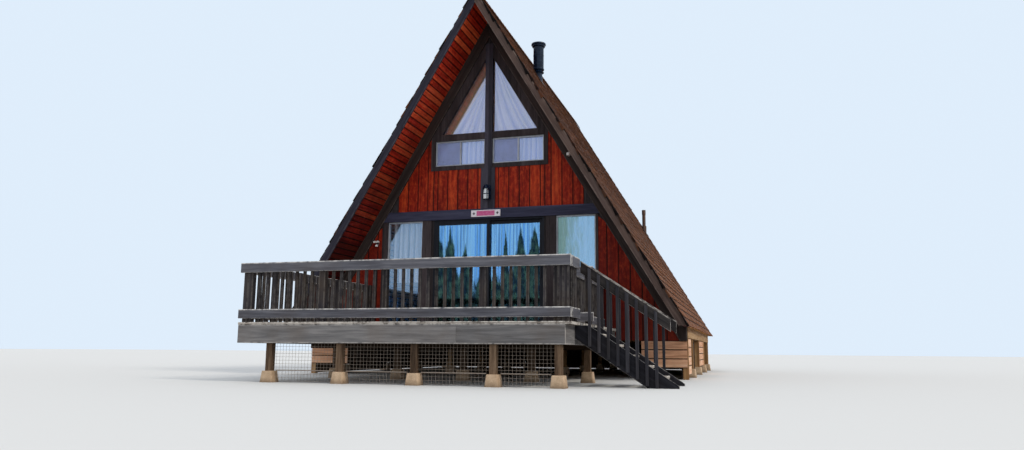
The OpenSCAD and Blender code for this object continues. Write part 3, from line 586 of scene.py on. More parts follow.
# Treetops of the door glass's painted reflection: place in X, height, and half the width at the foot
REFLECTED_TREETOPS = ((-1.0, 2.74, 0.3), (-0.76, 2.76, 0.26), (-0.45, 2.42, 0.2), (0.33, 2.66, 0.12),
                (0.62, 2.64, 0.28), (0.88, 2.7, 0.28))


def glass_with_painted_reflections(name):
    """Glass of the windows and the door, coloured with painted reflections. The loft's panes and the left
    tall window are a pale painted reflection of the sky, and the right tall window runs from a grey-green
    painted reflection of trees on its left to pale blue on its right. Low down, the tall windows turn
    grey-blue, also a painted reflection. The door is a painted reflection of sky and trees: it turns from
    sky blue to dark green and teal below a jagged line of treetops, the highest of a slow low base and a
    row of pointed tops, moved up and down by a quick noise of X. Dark upright streaks lie over the door."""
    f = Finish(name)
    place = f.place()
    x, z = f.part(place, "X"), f.part(place, "Z")
    loft, lower = f.between(z, HEADER_HIGH, 0.02), f.between(z, HEADER_HIGH, -0.02)
    door = f.times(f.between(f.math("ABSOLUTE", x), DOOR_HALF, -0.02), lower)
    right = f.between(x, DOOR_HALF, 0.02)
    slow = f.noise(place, (1.7, 0.0, 0.25), 2.0, 0.5)
    quick = f.noise(place, (9.0, 0.0, 2.2), 5.0, 0.7)
    line = f.spread(slow, 0.32, 0.68, 1.5, 2.1)
    for top_x, top_z, spread_x in REFLECTED_TREETOPS:
        off = f.math("ABSOLUTE", f.math("SUBTRACT", x, top_x))
        line = f.math("MAXIMUM", line, f.spread(off, 0.0, spread_x, top_z, 1.4))
    line = f.add(line, f.spread(quick, 0.3, 0.7, -0.16, 0.16))
    sky = f.spread(f.math("SUBTRACT", z, line), -0.06, 0.08)
    shimmer = f.noise(place, (26.0, 0.0, 0.3), 3.0, 0.6)
    # painted reflection of the sky on the door
    blue = f.over("68b0f8", shimmer, 0.36, 0.64, 0.0, 1.0, "a0daff")
    speckle = f.noise(place, (10.0, 1.0, 6.0), 5.0, 0.6)
    # painted reflection of trees on the door
    green = f.over("102a34", speckle, 0.42, 0.66, 0.0, 1.0, "4a6c5c")
    streak = f.noise(place, (34.0, 0.0, 0.5), 3.0, 0.6)
    low_line = f.spread(f.add(z, f.times(slow, 0.6)), 1.74, 1.98)
    ragged_x = f.math("SUBTRACT", x, f.spread(quick, 0.3, 0.7, -0.2, 0.2))
    # painted reflection on the right tall window: grey-green trees on its left, pale sky on its right
    shade = f.over("96b8b0", ragged_x, 1.45, 1.75, 0.0, 1.0, "b8e2ff")
    # the tall windows, with a painted grey-blue reflection low down
    tall = f.mix(low_line, "6088ba", f.mix(right, "bad8f6", shade))
    # the door's painted reflection, with dark upright streaks
    door_painted_reflection = f.over(f.mix(sky, green, blue), streak, 0.5, 0.66, 0.0, 0.5, "122c54")
    more = f.add(f.times(loft, 0.05), f.times(f.times(right, lower), 0.24))
    # the loft's panes carry a pale painted sky reflection
    f.set(Base_Color=f.mix(loft, f.mix(door, tall, door_painted_reflection), "cedaff"), Metallic=0.85,
          Alpha=f.add(f.spread(door, 0.0, 1.0, 0.26, 0.66), more),
          Roughness=f.spread(speckle, 0.4, 0.8, 0.03, 0.09))
    return f.material


def cloth(name, colour, shade, weave=420.0, through=0.1, low=None, change=0.0):
    """Thin curtain cloth: a plain weave on the cloth's own map, painted shade in the deep folds, and light
    coming through. A drape with a low colour turns to it below the height called change, in soft upright
    bands: a painted reflection of trees."""
    f = Finish(name)
    uv = f.uv("grain")
    apart = f.vector("MULTIPLY", uv, (weave, weave, 1.0))
    threads = f.times(*(f.math("SINE", f.part(apart, axis)) for axis in "XY"))
    slubs = f.noise(uv, (4.0, 60.0, 1.0), 4.0, 0.6)
    # painted shade: the cloth darkens towards its shade colour in the deep folds
    colour_out = f.over(colour, f.add(f.tone(), f.times(slubs, 0.3)), 0.45, 1.05, 0.0, 1.0, shade)
    # the low colour is a painted reflection of trees on the drape's lower part
    if low:
        place = f.place()
        bands = f.spread(f.noise(place, (5.0, 1.0, 0.5), 4.0, 0.6), 0.3, 0.7, -0.6, 0.6)
        level = f.add(f.part(place, "Z"), bands)
        colour_out = f.over(colour_out, level, change + 0.4, change - 0.4, 0.0, 1.0, low)
    f.set(Base_Color=colour_out, Roughness=0.9, Sheen_Weight=0.25, Specular_IOR_Level=0.1)
    f.bump(f.add(f.times(threads, 0.4), slubs), 0.0006, 0.4)
    light = f.node("BsdfTranslucent", {"Color": colour}).outputs[0]
    both = f.node("MixShader", {0: through, 1: f.shader.outputs[0], 2: light})
    f.put(f.out.inputs[0], both.outputs[0])
    return f.material


def screen(name, colour, alpha):
    """Insect screen: a fine dark weave, half open, with a little dust."""
    f = Finish(name)
    apart = f.vector("MULTIPLY", f.place(), (900.0, 900.0, 900.0))
    threads = f.math("MAXIMUM", *(f.math("SINE", f.part(apart, axis)) for axis in "XZ"))
    dust = f.noise(f.place(), 6.0, 5.0, 0.65)
    f.set(Base_Color=f.over(colour, dust, 0.4, 0.7, 0.0, 0.4, "9698a8"), Roughness=0.8,
          Alpha=f.spread(threads, -1.0, 1.0, alpha - 0.12, alpha + 0.12), Specular_IOR_Level=0.1)
    return f.material


def stone(name, dark, light, scale=9.0):
    """Cast concrete: sandy mottling, pits, and stains round its foot."""
    f = Finish(name)
    sand, patches = f.noise(f.place(), scale * 9, 6.0, 0.75), f.noise(f.place(), scale, 5.0, 0.6)
    colour = f.ramp(f.add(f.times(sand, 0.5), f.times(patches, 0.5)), (0.3, dark), (0.7, light))
    height = f.add(f.part(f.place(), "Z"), f.times(patches, 0.05))
    f.set(Base_Color=f.over(colour, height, 0.03, 0.10, 0.6, 0.0, "604c38"), Roughness=0.92)
    f.bump(f.add(f.spread(f.cells(f.place(), 95.0), 0.05, 0.25), sand), 0.003, 0.7)
    return f.material


def plastic(name, colour, dirt, rough=0.4):
    """Moulded plastic or enamel with a little grime."""
    f = Finish(name)
    grime = f.noise(f.place(), 22.0, 5.0, 0.7)
    f.set(Base_Color=f.over(colour, grime, 0.45, 0.75, 0.0, 0.6, dirt),
          Roughness=f.spread(grime, 0.3, 0.7, rough, rough + 0.2))
    f.bump(grime, 0.0004, 0.3)
    return f.material


TAN_TONES = "8c5c30 cc9658 eabc7e"
# The siding's low colour is painted shade: the wall gets darker towards its bottom.
STAIN = wood("red_stain", "500b06 9c2511 da5424", fine=14.0, tone_share=0.16, knots=0.6, fade="68160e",
             gaps=0.8, gap_w=0.011, mottle=0.45, runs="c45426", rough=0.6, low=(1.0, 3.4, 0.75, "400c0a"))
WALL_CORE = wood("wall_core", "1e1a1a 322d2e 4a4446", grain="z", inner=(WALL + 0.052, 50.0, TAN_TONES))
REAR_CORE = wood("rear_wall_core", "420a06 841f10 bc441e", grain="z", inner=(-50.0, REAR - 0.01, TAN_TONES))
# The soffit's low colour is painted shade: the soffit gets darker towards the eaves.
SOFFIT = wood("soffit_stain", "5c0d09 c2321e f07644", fine=18.0, tone_share=0.3, knots=0.5, gaps=0.9,
              gap_w=0.009, mottle=0.3, rough=0.6, inner=(WALL + 0.06, REAR - 0.06, TAN_TONES),
              low=(2.5, 5.3, 0.95, "2c080b"))
CHARCOAL = wood("charcoal_paint", "1c1615 312927 483e3a", worn="6c625c", wear=0.4, fade="403028", rough=0.7)
# Two copies of the barge boards' charcoal paint: a warmer, lighter one as painted warm light for the right
# barge, and a bluer one as painted sky shade for the left barge.
CHARCOAL_PAINTED_WARM_LIGHT = wood("charcoal_painted_warm_light", "3a2e2a 5e4d47 7e6d64", worn="867870", wear=0.4, fade="5c463a",
                     rough=0.7)
CHARCOAL_PAINTED_SKY_SHADE = wood("charcoal_painted_sky_shade", "1b1a21 312f3a 4a4650", worn="6e6a70", wear=0.3, fade="2c282e",
                     rough=0.7)
TRIM = wood("charcoal_trim", "252329 3a3740 504c56", grain="z", rough=0.65)
TRIM_WARM = wood("charcoal_trim_warm", "241e1e 393132 504748", grain="z", rough=0.65)
# The header band's charcoal is bluer than the other trim's, as painted sky shade.
TRIM_LEVEL_PAINTED_SKY_SHADE = wood("charcoal_trim_level_painted_sky_shade", "21212d 353548 4b4b5f", grain="x", rough=0.65)
RAIL_PAINT = wood("rail_paint", "323236 58585f 808086", tone_share=0.08, worn="cecac6", wear=1.0,
                  top_edge=True, fade="544a44", rough=0.78, bump=0.0022)
DECK_PAINT = wood("deck_paint", "171517 292629 444042", worn="807a74", wear=0.3, fade="544430", rough=0.78,
                  bump=0.0022)
FASCIA_PAINT = wood("fascia_paint", "424041 6e6c6c 969290", tone_share=0.12, worn="beb8b2", wear=0.7,
                    fade="685a4e", rough=0.78, bump=0.0022)
STAIR_PAINT = wood("stair_paint", "181717 2c2929 484341", worn="beb6ae", wear=0.8, top_edge=True,
                   worn_w=0.01, fade="44382e", rough=0.75)
STAIR_DARK = wood("stair_dark", "1b1b1f 323136 4e4d52", fade="3e3630")
STRINGER_PAINT = wood("stringer_paint", "111115 201f24 343339", worn="b0aaa4", wear=0.6, fade="2e2826",
                      rough=0.75)
DECK_BOARDS = wood("worn_deck_boards", "544a42 8a7f76 baafa4", worn="ded7ce", wear=0.8, worn_w=0.012,
                   knots=0.5, gaps=0.7, rough=0.85, bump=0.003)
PALE_TIMBER = wood("pale_timber", "926446 d8a482 f6d4b4", fine=12.0, knots=0.6, fade="8c7056", gaps=0.8,
                   rough=0.8)
BEAM_Y = wood("pale_timber_y", "5e4026 8a6846 b2926a", grain="y", rough=0.8)
BEAM_X = wood("pale_timber_x", "60462e 8c6c4c b0926e", grain="x", rough=0.8)
POST_Z = wood("pale_timber_z", "68482c 98724c c4a278", grain="z", rough=0.8)
# One deck timber in two copies: the beams and joists darker, as painted shade below the deck, and the posts
# lighter, as painted sunlight.
DULL_X_PAINTED_SHADE = wood("dull_timber_x_painted_shade", "241b14 423328 625040", grain="x", rough=0.85)
DULL_Y_PAINTED_SHADE = wood("dull_timber_y_painted_shade", "241b14 423328 625040", grain="y", rough=0.85)
DULL_Z_PAINTED_SUN = wood("dull_timber_z_painted_sun", "30251d 5e4b3b 8a735d", grain="z", rough=0.85)
# The crawl boards' dark brown is painted shade of the closed space below the floor.
CRAWL_PAINTED_SHADE = wood("crawl_boards", "1a130e 382a1f 584432", knots=0.5, gaps=0.8, rough=0.85)
INSIDE = wood("inside_boards", TAN_TONES, grain="y", fine=10.0)
LINING = wood("inside_lining", "ce9c54 fcd484 ffe8b0", fine=10.0)
SHINGLES = shingle_finish()
ALUMINIUM = metal("dull_aluminium", "b2b5bc", "787470", 0.42, 0.25, 10.0)
BRONZE = metal("dark_bronze", "14161e", "2c2c34", 0.5, 0.1, 8.0, shine=0.2)
# Black paint whose navy colour and blue patches are a painted reflection of the sky.
BLACK_PAINTED_SKY = metal("black_paint_painted_sky_reflection", "041326", "142e4e", 0.22, 0.0, 7.0, shine=0.24)
BROWN_PIPE = metal("brown_paint", "462c20", "684e3c", 0.5, 0.2, 9.0)
WIRE = metal("galvanised_wire", "b0aca4", "846850", 0.55, 0.4, 30.0, False)
# The window and door glass carries painted reflections.
PANE_PAINTED_REFLECTIONS = glass_with_painted_reflections("window_pane_painted_reflections")
GABLE_PANE = glass("gable_pane", "dee2ff", 0.3)
CONCRETE = stone("rough_concrete", "967a5e", "dabe9e")
# The second colour of each cloth is painted shade in its folds.
WHITE_CLOTH = cloth("white_cotton", "ffffff", "708ad6", 420.0, 0.16)
CREAM_CLOTH = cloth("cream_drape", "f6f8fa", "54627c", 300.0)
# The drape's dark low colour is a painted reflection of trees.
GREEN_CLOTH = cloth("blue_green_drape", "82b8d8", "467a98", 300.0, 0.1, "1a323a", 2.1)
SCREEN = screen("insect_screen", "b0beec", 0.4)
WHITE_PLASTIC = plastic("white_enamel", "ececea", "bebab4")
DARK_PLASTIC = plastic("grey_enamel", "3c3a3c", "5a5654")
WARM_GLASS = plastic("frosted_glass", "e2e6e6", "b8bec4", 0.2)
BOARD_WHITE = plastic("board_white", "e8e0e4", "c4babe", 0.5)
BOARD_PINK = plastic("board_pink", "c84a82", "e8a8c8", 0.5)
BOARD_GREY = plastic("board_grey", "4a3e46", "786a72", 0.5)


def slope_point(s, d):
    """X and Z of a point of the right slope: s metres down from the ridge, d metres in from the shingles'
    top."""
    return (s - SLOPE * d) / LEAN, RIDGE - (SLOPE * s + d) / LEAN


def slope_x(d, z):
    return (RIDGE - d * LEAN - z) / SLOPE


def slope_z(d, x):
    return RIDGE - d * LEAN - SLOPE * x


def eave_run(d):
    """How far down the slope the depth d meets the level of the eaves."""
    return ((RIDGE - EAVE) * LEAN - d) / SLOPE


OUT = np.array([SLOPE, 0, 1]) / LEAN


def on_slope(s, y, d):
    """Points on the right slope, as an array, from run, place along the ridge, and depth."""
    s, y, d = np.broadcast_arrays(s, y, d)
    x, z = slope_point(s, d)
    return np.stack([x, y, z], -1)


# Roof
PLANK_W = 0.116
PLANK_T = 0.019


def roof_planks():
    """Soffit planks that run from front to back side by side down the slope, under a plain slab."""
    depth = SOFFIT_D - PLANK_T / 2
    first = SLOPE * SOFFIT_D
    count = int((eave_run(SOFFIT_D) - first) / PLANK_W)
    s = first + (np.arange(count) + 0.5) * PLANK_W
    y0, y1 = ROOF_FRONT + BOARD_T, ROOF_REAR - BOARD_T
    joint = rng.uniform(y0 + 0.6, y1 - 0.6, count)
    planks = [boards(on_slope(s, a, depth), on_slope(s, b, depth), -OUT, PLANK_W - 0.001, PLANK_T, 0.004)
              for a, b in ((y0, joint - 0.001), (joint + 0.001, y1))]
    base = SOFFIT_D - PLANK_T
    outline = [slope_point(SLOPE * SHINGLE_T, SHINGLE_T), slope_point(SLOPE * base, base),
               slope_point(eave_run(base), base), slope_point(eave_run(SHINGLE_T), SHINGLE_T)]
    points, walls, front, back = carried([(outline, y0), (outline, y1)])
    grain = [points[front][..., [0, 2]], points[back][..., [0, 2]], points[walls][..., [1, 2]]]
    return joined(*planks, Shape(points, [front, back, walls], grain))


PLANKS = roof_planks()
piece("soffit_right", PLANKS, SOFFIT, ["roof_deck_right"])
piece("soffit_left", flipped(PLANKS), SOFFIT, ["roof_deck_left"])


SHINGLE_LAP = 0.075
SHINGLE_ROW = 96


def shingle_slope(ragged):
    """Courses of split shingles: each is a thin wedge, thick at its lower end, laid over the head of the
    course below. Widths, ends, thickness and lift are random, and the ends at both rakes are ragged. The
    front ones are thicker and stand out by the given share."""
    last = eave_run(0) + 0.004
    courses = int(last / REVEAL)
    length = ROOF_REAR - ROOF_FRONT
    widths = rng.uniform(0.075, 0.20, (courses, SHINGLE_ROW))
    right = np.cumsum(widths, 1) - rng.uniform(0, 0.08, (courses, 1))
    left = right - widths
    course = np.repeat(np.arange(courses)[:, None], SHINGLE_ROW, 1)
    keep = left < length - 0.03
    left, right, course = np.maximum(left[keep], 0), np.minimum(right[keep], length), course[keep]
    n = len(left)
    at_front, at_back = left == 0, right == length
    y0 = ROOF_FRONT + left + np.where(at_front, rng.uniform(-0.016, 0.022, n), 0.0015)
    y1 = ROOF_FRONT + right - np.where(at_back, rng.uniform(-0.016, 0.022, n), rng.uniform(0.001, 0.006, n))
    butt = last - course * REVEAL + rng.uniform(-0.012, 0.004, n)
    head = np.maximum(butt - REVEAL - SHINGLE_LAP, 0.002)
    top = rng.uniform(-0.004, 0.003, n) + np.where(rng.uniform(0, 1, n) > 0.93, 0.005, 0)
    thick = rng.uniform(0.017, 0.023, n)
    thick = np.where(at_front, 0.024 + ragged * rng.uniform(0.002, 0.04, n), thick)
    y0 = np.where(at_front, y0 - ragged * rng.uniform(0.0, 0.045, n), y0)
    skew = rng.uniform(-0.006, 0.006, n)
    ends = ((head, 0, 0.002 - SHINGLE_T, 0.010 - SHINGLE_T), (butt, skew, top - thick, top))
    corners = [on_slope(s + turn * bend, y, -up)
               for s, bend, *ups in ends for y, turn in ((y0, -1), (y1, 1)) for up in ups]
    run = np.stack([head] * 4 + [butt] * 4, 1)
    side = np.stack([y0, y0, y1, y1] * 2, 1)
    return wedges(np.stack(corners, 1), np.stack([run, side], -1), butt[:, None] - run)


piece("shingle_slope_right", shingle_slope(1.0), SHINGLES, ["shingles_right"])
piece("shingle_slope_left", flipped(shingle_slope(0.2)), SHINGLES, ["shingles_left"])


def ridge_shingles():
    """Ridge shingles: pairs of short boards that lean on both slopes, each pair laid over the one behind
    it."""
    step, over, leg = 0.17, 0.08, 0.205
    count = int((ROOF_REAR - ROOF_FRONT) / step)
    y = ROOF_FRONT + np.arange(count) * (ROOF_REAR - ROOF_FRONT) / count
    y_end = np.minimum(y + step + over, ROOF_REAR)
    foot = leg + rng.uniform(-0.008, 0.004, count)
    corners = [on_slope(-SLOPE * d if s is None else s, place, -d)
               for place, top, bottom in ((y, 0.022, 0.007), (y_end, 0.011, 0.002))
               for s in (None, foot) for d in (bottom, top)]
    run = np.tile([0, 0, leg, leg] * 2, (count, 1))
    side = np.stack([y] * 4 + [y_end] * 4, 1)
    from_end = np.tile([0] * 4 + [1] * 4, (count, 1)) * (step + over)
    return wedges(np.stack(corners, 1), np.stack([run, side], -1), from_end)


piece("ridge_shingles", both_sides(ridge_shingles()), SHINGLES, ["ridge_cap"])


def sloped_board(y0, y1, d0, d1, lowest, chamfer=0.004):
    """Board down the right slope between two depths: plumb at the ridge, level at its lower end."""
    mid, w = (d0 + d1) / 2, d1 - d0
    top = SLOPE * mid + 0.001
    end = ((RIDGE - lowest) * LEAN - mid) / SLOPE
    y = (y0 + y1) / 2
    return boards(on_slope(top, y, mid), on_slope(end, y, mid), FRONT, w, y1 - y0, chamfer, -SLOPE, 1 / SLOPE,
                  rings=12, bow=0.002)


def barge(y0):
    return sloped_board(y0, y0 + BOARD_T, SHINGLE_T, BARGE_D, EAVE)


# The right front barge takes the painted warm light, the left one the painted sky shade.
for name, shape, finish in (
    ("right", barge(ROOF_FRONT), CHARCOAL_PAINTED_WARM_LIGHT),
    ("left", flipped(barge(ROOF_FRONT)), CHARCOAL_PAINTED_SKY_SHADE),
):
    piece("front_barge_" + name, shape, finish, ["front_barge_boards"])
piece("rear_barge", both_sides(barge(ROOF_REAR - BOARD_T)), CHARCOAL, ["rear_barge_boards"])


def gable_rafter(y0, y1):
    """Wall rafter down the slope, with a plumb foot that reaches down in front of the side beam."""
    foot_x = high("front_rafters")[0]
    outline = [(slope_x(RAFTER_IN, WALL_FOOT), WALL_FOOT), (foot_x, WALL_FOOT), (foot_x, EAVE),
               (slope_x(RAFTER_IN, EAVE), EAVE)]
    foot = slabs([outline], y0, y1, 0.004)
    return both_sides(joined(sloped_board(y0, y1, RAFTER_OUT, RAFTER_IN, EAVE), foot))


RAFTER_T = high("front_rafters")[1] - low("front_rafters")[1]
for end, y in (("front", WALL - RAFTER_T), ("rear", REAR)):
    rafters = gable_rafter(y, WALL if end == "front" else REAR + RAFTER_T)
    piece(end + "_gable_rafters", rafters, CHARCOAL, [end + "_rafters"])


# Red siding on the gable walls
SIDING_T = 0.012
SIDING_W = 0.2032
WIN_IN = -low("window_frames")[0] - 0.729
WIN_OUT = high("window_frames")[0]
TALL_SILL = FLOOR + 0.1
LOFT_SILL = 3.95
LOFT_HEAD = 4.446
SIDE_X = 0.073 + 1.006


def siding(x0, x1, z_low, z_high):
    """Upright siding boards between two places: the lower ends follow z_low, the upper ends follow z_high
    or the rafters' line, whichever is lower."""
    edges = np.arange(math.ceil(x0 / SIDING_W), math.floor(x1 / SIDING_W) + 1) * SIDING_W
    edges = np.unique(np.concatenate([[x0], edges, [x1]]))
    edges = edges[np.concatenate([[True], np.diff(edges) > 0.004])]
    a, b = edges[:-1], edges[1:]
    top = np.minimum(z_high, RIDGE - SIDING_D * LEAN - SLOPE * np.abs(np.stack([a, b])))
    keep = (top > z_low + 0.004).all(0)
    a, b, (top_a, top_b) = a[keep], b[keep], top[:, keep]
    foot = np.full(len(a), z_low)
    return np.stack([np.stack(p, -1) for p in ((a, foot), (b, foot), (b, top_b), (a, top_a))], 1)


def siding_boards(quads, y):
    """Siding boards, each a little in front of or behind the next."""
    step = rng.uniform(-0.0012, 0.0012, len(quads))
    return slabs(quads, y - SIDING_T + step, y + 0.001, 0.0035)


def front_quads():
    """Siding of the front wall: beside and below the tall windows, and above the header band round the loft
    windows."""
    limit = slope_x(SIDING_D, WALL_FOOT)
    quads = np.concatenate([
        siding(WIN_OUT, limit, WALL_FOOT, HEADER_LOW),
        siding(1.09, WIN_OUT, WALL_FOOT, TALL_SILL - 0.004),
        siding(0.1, SIDE_X + 0.02, HEADER_HIGH, LOFT_SILL - 0.05),
        siding(SIDE_X + 0.02, limit, HEADER_HIGH, RIDGE),
    ])
    return np.concatenate([quads, quads[:, ::-1] * [-1, 1]])


REAR_HALF = slope_x(SIDING_D, WALL_FOOT)
REAR_QUADS = siding(-REAR_HALF, REAR_HALF, WALL_FOOT, RIDGE)
piece("front_siding", siding_boards(front_quads(), WALL), STAIN)
piece("rear_siding", flipped(siding_boards(REAR_QUADS, -REAR), 1), STAIN)


# Deck
def deck_boards():
    """Deck boards that run from side to side, some in two lengths, with gaps and worn ends."""
    board_w, gap, thick = 0.139, 0.006, FLOOR - DECK_UNDER
    count = int((WALL - DECK_FRONT) / (board_w + gap))
    step = (WALL - DECK_FRONT) / count
    y = DECK_FRONT + (np.arange(count) + 0.5) * step
    cut = rng.choice([-1.22, -0.61, 0.0, 0.61, 1.22], count) + 0.01
    z = FLOOR - thick / 2 - rng.uniform(0, 0.0015, count)
    ends = rng.uniform(-0.004, 0.0, (2, count))
    spans = ((DECK_LEFT - ends[0], cut - 0.0015), (cut + 0.0015, HALF + ends[1]))
    return joined(*(boards(xyz(x0, y, z), xyz(x1, y, z), UP, step - gap, thick, 0.006) for x0, x1 in spans))


piece("deck_boards", deck_boards(), DECK_BOARDS, ["deck_floor"])

(FASCIA_LEFT, FASCIA_FRONT, FASCIA_LOW), FASCIA_RIGHT = low("deck_fascia"), high("deck_fascia")[0]
FASCIA_MID = (FASCIA_LOW + DECK_UNDER) / 2
FASCIA_JOINT = 0.9


def fascia():
    """Wide fascia boards round the deck's front, in two lengths, and both sides."""
    w, z = DECK_UNDER - FASCIA_LOW, FASCIA_MID
    y = FASCIA_FRONT + BOARD_T / 2
    starts, ends = [FASCIA_LEFT, FASCIA_JOINT + 0.003], [FASCIA_JOINT, FASCIA_RIGHT]
    front = boards(xyz(starts, y, z), xyz(ends, y, z), FRONT, w, BOARD_T, 0.004, rings=10, bow=0.003)
    sides = [FASCIA_RIGHT - BOARD_T / 2, FASCIA_LEFT + BOARD_T / 2]
    ends = (xyz(sides, y + BOARD_T / 2, z), xyz(sides, WALL, z))
    return joined(front, boards(*ends, [RIGHT, LEFT], w, BOARD_T, 0.004, rings=10, bow=0.002))


piece("fascia_boards", fascia(), FASCIA_PAINT, ["deck_fascia"])

LOW_RAIL = FLOOR + 0.052
RAIL_BOARD_H = 0.14
LOW_BOARD_H = 0.13
BALUSTER = 0.038
BALUSTER_STEP = 0.128
POST_DROP = 0.012
POST_PLY = 0.066


def spread(a, b, step):
    n = math.ceil((b - a) / step)
    return a + np.arange(1, n) * (b - a) / n


def railing(origin, along, inward, length, posts, first=0.0, last=0.0):
    """Railing from its outer corner: two flat boards on the outside, and behind them posts and square
    balusters. Gives the boards and the uprights as two shapes."""
    o, a, i = (np.array(v, float) for v in (origin, along, inward))
    upright = np.array([0, 0, RAIL_TOP - POST_DROP - FLOOR])

    def line(z, width):
        p = o + i * BOARD_T / 2 + [0, 0, z]
        return boards(p, p + a * length, -i, width, BOARD_T, 0.004, rings=14, bow=0.003)

    middles = list(posts)
    if first:
        middles.append((BOARD_T + first / 2, first))
    if last:
        middles.append((length - BOARD_T - last / 2, last))
    parts = []
    for at, width in middles:
        count = max(1, round(width / POST_PLY))
        slots = at - width / 2 + (np.arange(count) + 0.5) * width / count
        foot = o + a * slots[:, None] + i * (BOARD_T + POST_W / 2) + [0, 0, FLOOR]
        parts.append(boards(foot, foot + upright, -i, width / count - 0.001, POST_W, 0.004))
    starts = [BOARD_T + first if first else 0] + [at + w / 2 for at, w in posts]
    stops = [at - w / 2 for at, w in posts] + [length - BOARD_T - last if last else length]
    slots = np.concatenate([spread(s, e, BALUSTER_STEP) for s, e in zip(starts, stops)])
    foot = o + a * slots[:, None] + i * (BOARD_T + BALUSTER / 2) + [0, 0, FLOOR]
    lift = rng.uniform(-0.004, 0.004, (len(slots), 1)) * a
    parts.append(boards(foot + lift, foot - lift + upright, -i, BALUSTER, BALUSTER, 0.003))
    top, base = line(RAIL_TOP - RAIL_BOARD_H / 2, RAIL_BOARD_H), line(LOW_RAIL + LOW_BOARD_H / 2, LOW_BOARD_H)
    return joined(top, base), joined(*parts)


def add_railing(name, node, *railings):
    """Puts the boards of the railings of one side into one piece, and their uprights into another."""
    for (part, finish), shapes in zip((("_boards", RAIL_PAINT), ("_uprights", DECK_PAINT)), zip(*railings)):
        piece(name + part, joined(*shapes), finish, [node])


FRONT_POSTS = [(-1.132 + HALF, POST_W), (-0.166 + HALF, 0.064), (1.245 + HALF, POST_W)]
SIDE_END = 0.132
RAIL_SET = 0.25
STAIR_FRONT, STAIR_REAR = low("stair_stringers")[1], high("stair_stringers")[1]


def all_railings():
    """Front railing from corner to corner. Left railing from the wall to the front corner. On the right, a
    set-back stretch from the wall to the stair's head, a short return to the deck's edge, and a stretch
    between the stair and the front corner."""
    front = railing((DECK_LEFT, DECK_FRONT, 0), RIGHT, BACK, 2 * HALF, FRONT_POSTS, 0.144, 0.198)
    add_railing("front_railing", "railing_front", front)
    length = WALL - DECK_FRONT - SIDE_END
    posts = [(length / 3, POST_W), (2 * (length / 3), POST_W)]
    left = railing((DECK_LEFT, WALL, 0), FRONT, RIGHT, length, posts, POST_W)
    add_railing("left_railing", "railing_left", left)
    back = WALL - STAIR_REAR
    x = HALF - RAIL_SET
    short = STAIR_FRONT - DECK_FRONT - SIDE_END
    add_railing("right_railing", "railing_right",
                railing((x, STAIR_REAR, 0), BACK, LEFT, back, [(back / 2, POST_W)], POST_W, POST_W),
                railing((x + 0.002, STAIR_REAR, 0), RIGHT, BACK, RAIL_SET - 0.002, [], 0, POST_W),
                railing((HALF, STAIR_FRONT - short, 0), BACK, LEFT, short, [], 0, POST_W))


all_railings()


# Stair
RISES = 6
GOING = 0.21
RISE = FLOOR / RISES
PITCH = RISE / GOING
STAIR_HEAD = 0.06
STRINGER_H = 0.30
STAIR_FOOT = high("stair_stringers")[0]
RAIL_END = high("stair_rails")[0]
STAIR_X = HALF + 0.004


def stair_z(x):
    return FLOOR - PITCH * (x - HALF - STAIR_HEAD)


def plate(outline, y0, y1, chamfer=0.004):
    """Flat board of any convex outline, anticlockwise from the front, with both faces' edges cut by the
    chamfer. Its grain runs down the stair's pitch."""
    o = np.asarray(outline, float)
    inner = inset(o, chamfer, 0.98)
    points, *faces = carried([(inner, y0), (o, y0 + chamfer), (o, y1 - chamfer), (inner, y1)])
    slope, turn = np.array([[1, -PITCH], [PITCH, 1]]) / math.hypot(1, PITCH)
    grain = [np.stack([points[f][..., [0, 2]] @ slope, points[f][..., [0, 2]] @ turn + points[f][..., 1]], -1)
             for f in faces]
    rims = [np.full(g.shape, 0.02) for g in grain]
    rims[0][:] = np.repeat([0.002, 0.008, 0.002], len(o))[:, None, None]
    return Shape(points, faces, grain, rims)


def stringers():
    x0, x1 = FASCIA_RIGHT, HALF + STAIR_HEAD
    outline = [
        (x0, DECK_UNDER), (x0, stair_z(x0) - STRINGER_H), (x1 + (FLOOR - STRINGER_H) / PITCH, 0),
        (STAIR_FOOT, 0), (STAIR_FOOT, stair_z(STAIR_FOOT)), (x1 + (FLOOR - DECK_UNDER) / PITCH, DECK_UNDER),
    ]
    return joined(*(plate(outline, y, y + BOARD_T) for y in (STAIR_FRONT, STAIR_REAR - BOARD_T)))


piece("stringers", stringers(), STRINGER_PAINT, ["stair_stringers"])


def treads():
    """Two boards for each tread, with a small gap between them."""
    depth, gap = GOING + 0.02, 0.006
    step = np.arange(RISES - 1)
    board_w = (depth - gap) / 2
    x = STAIR_X + step * GOING
    x = np.concatenate([x + board_w / 2, x + board_w * 1.5 + gap])
    z = np.tile(FLOOR - (step + 1) * RISE - BOARD_T / 2, 2)
    ends = (xyz(x, y, z) for y in (STAIR_FRONT + BOARD_T, STAIR_REAR - BOARD_T))
    return boards(*ends, UP, board_w, BOARD_T, 0.006)


piece("tread_boards", treads(), DECK_BOARDS, ["stair_treads"])


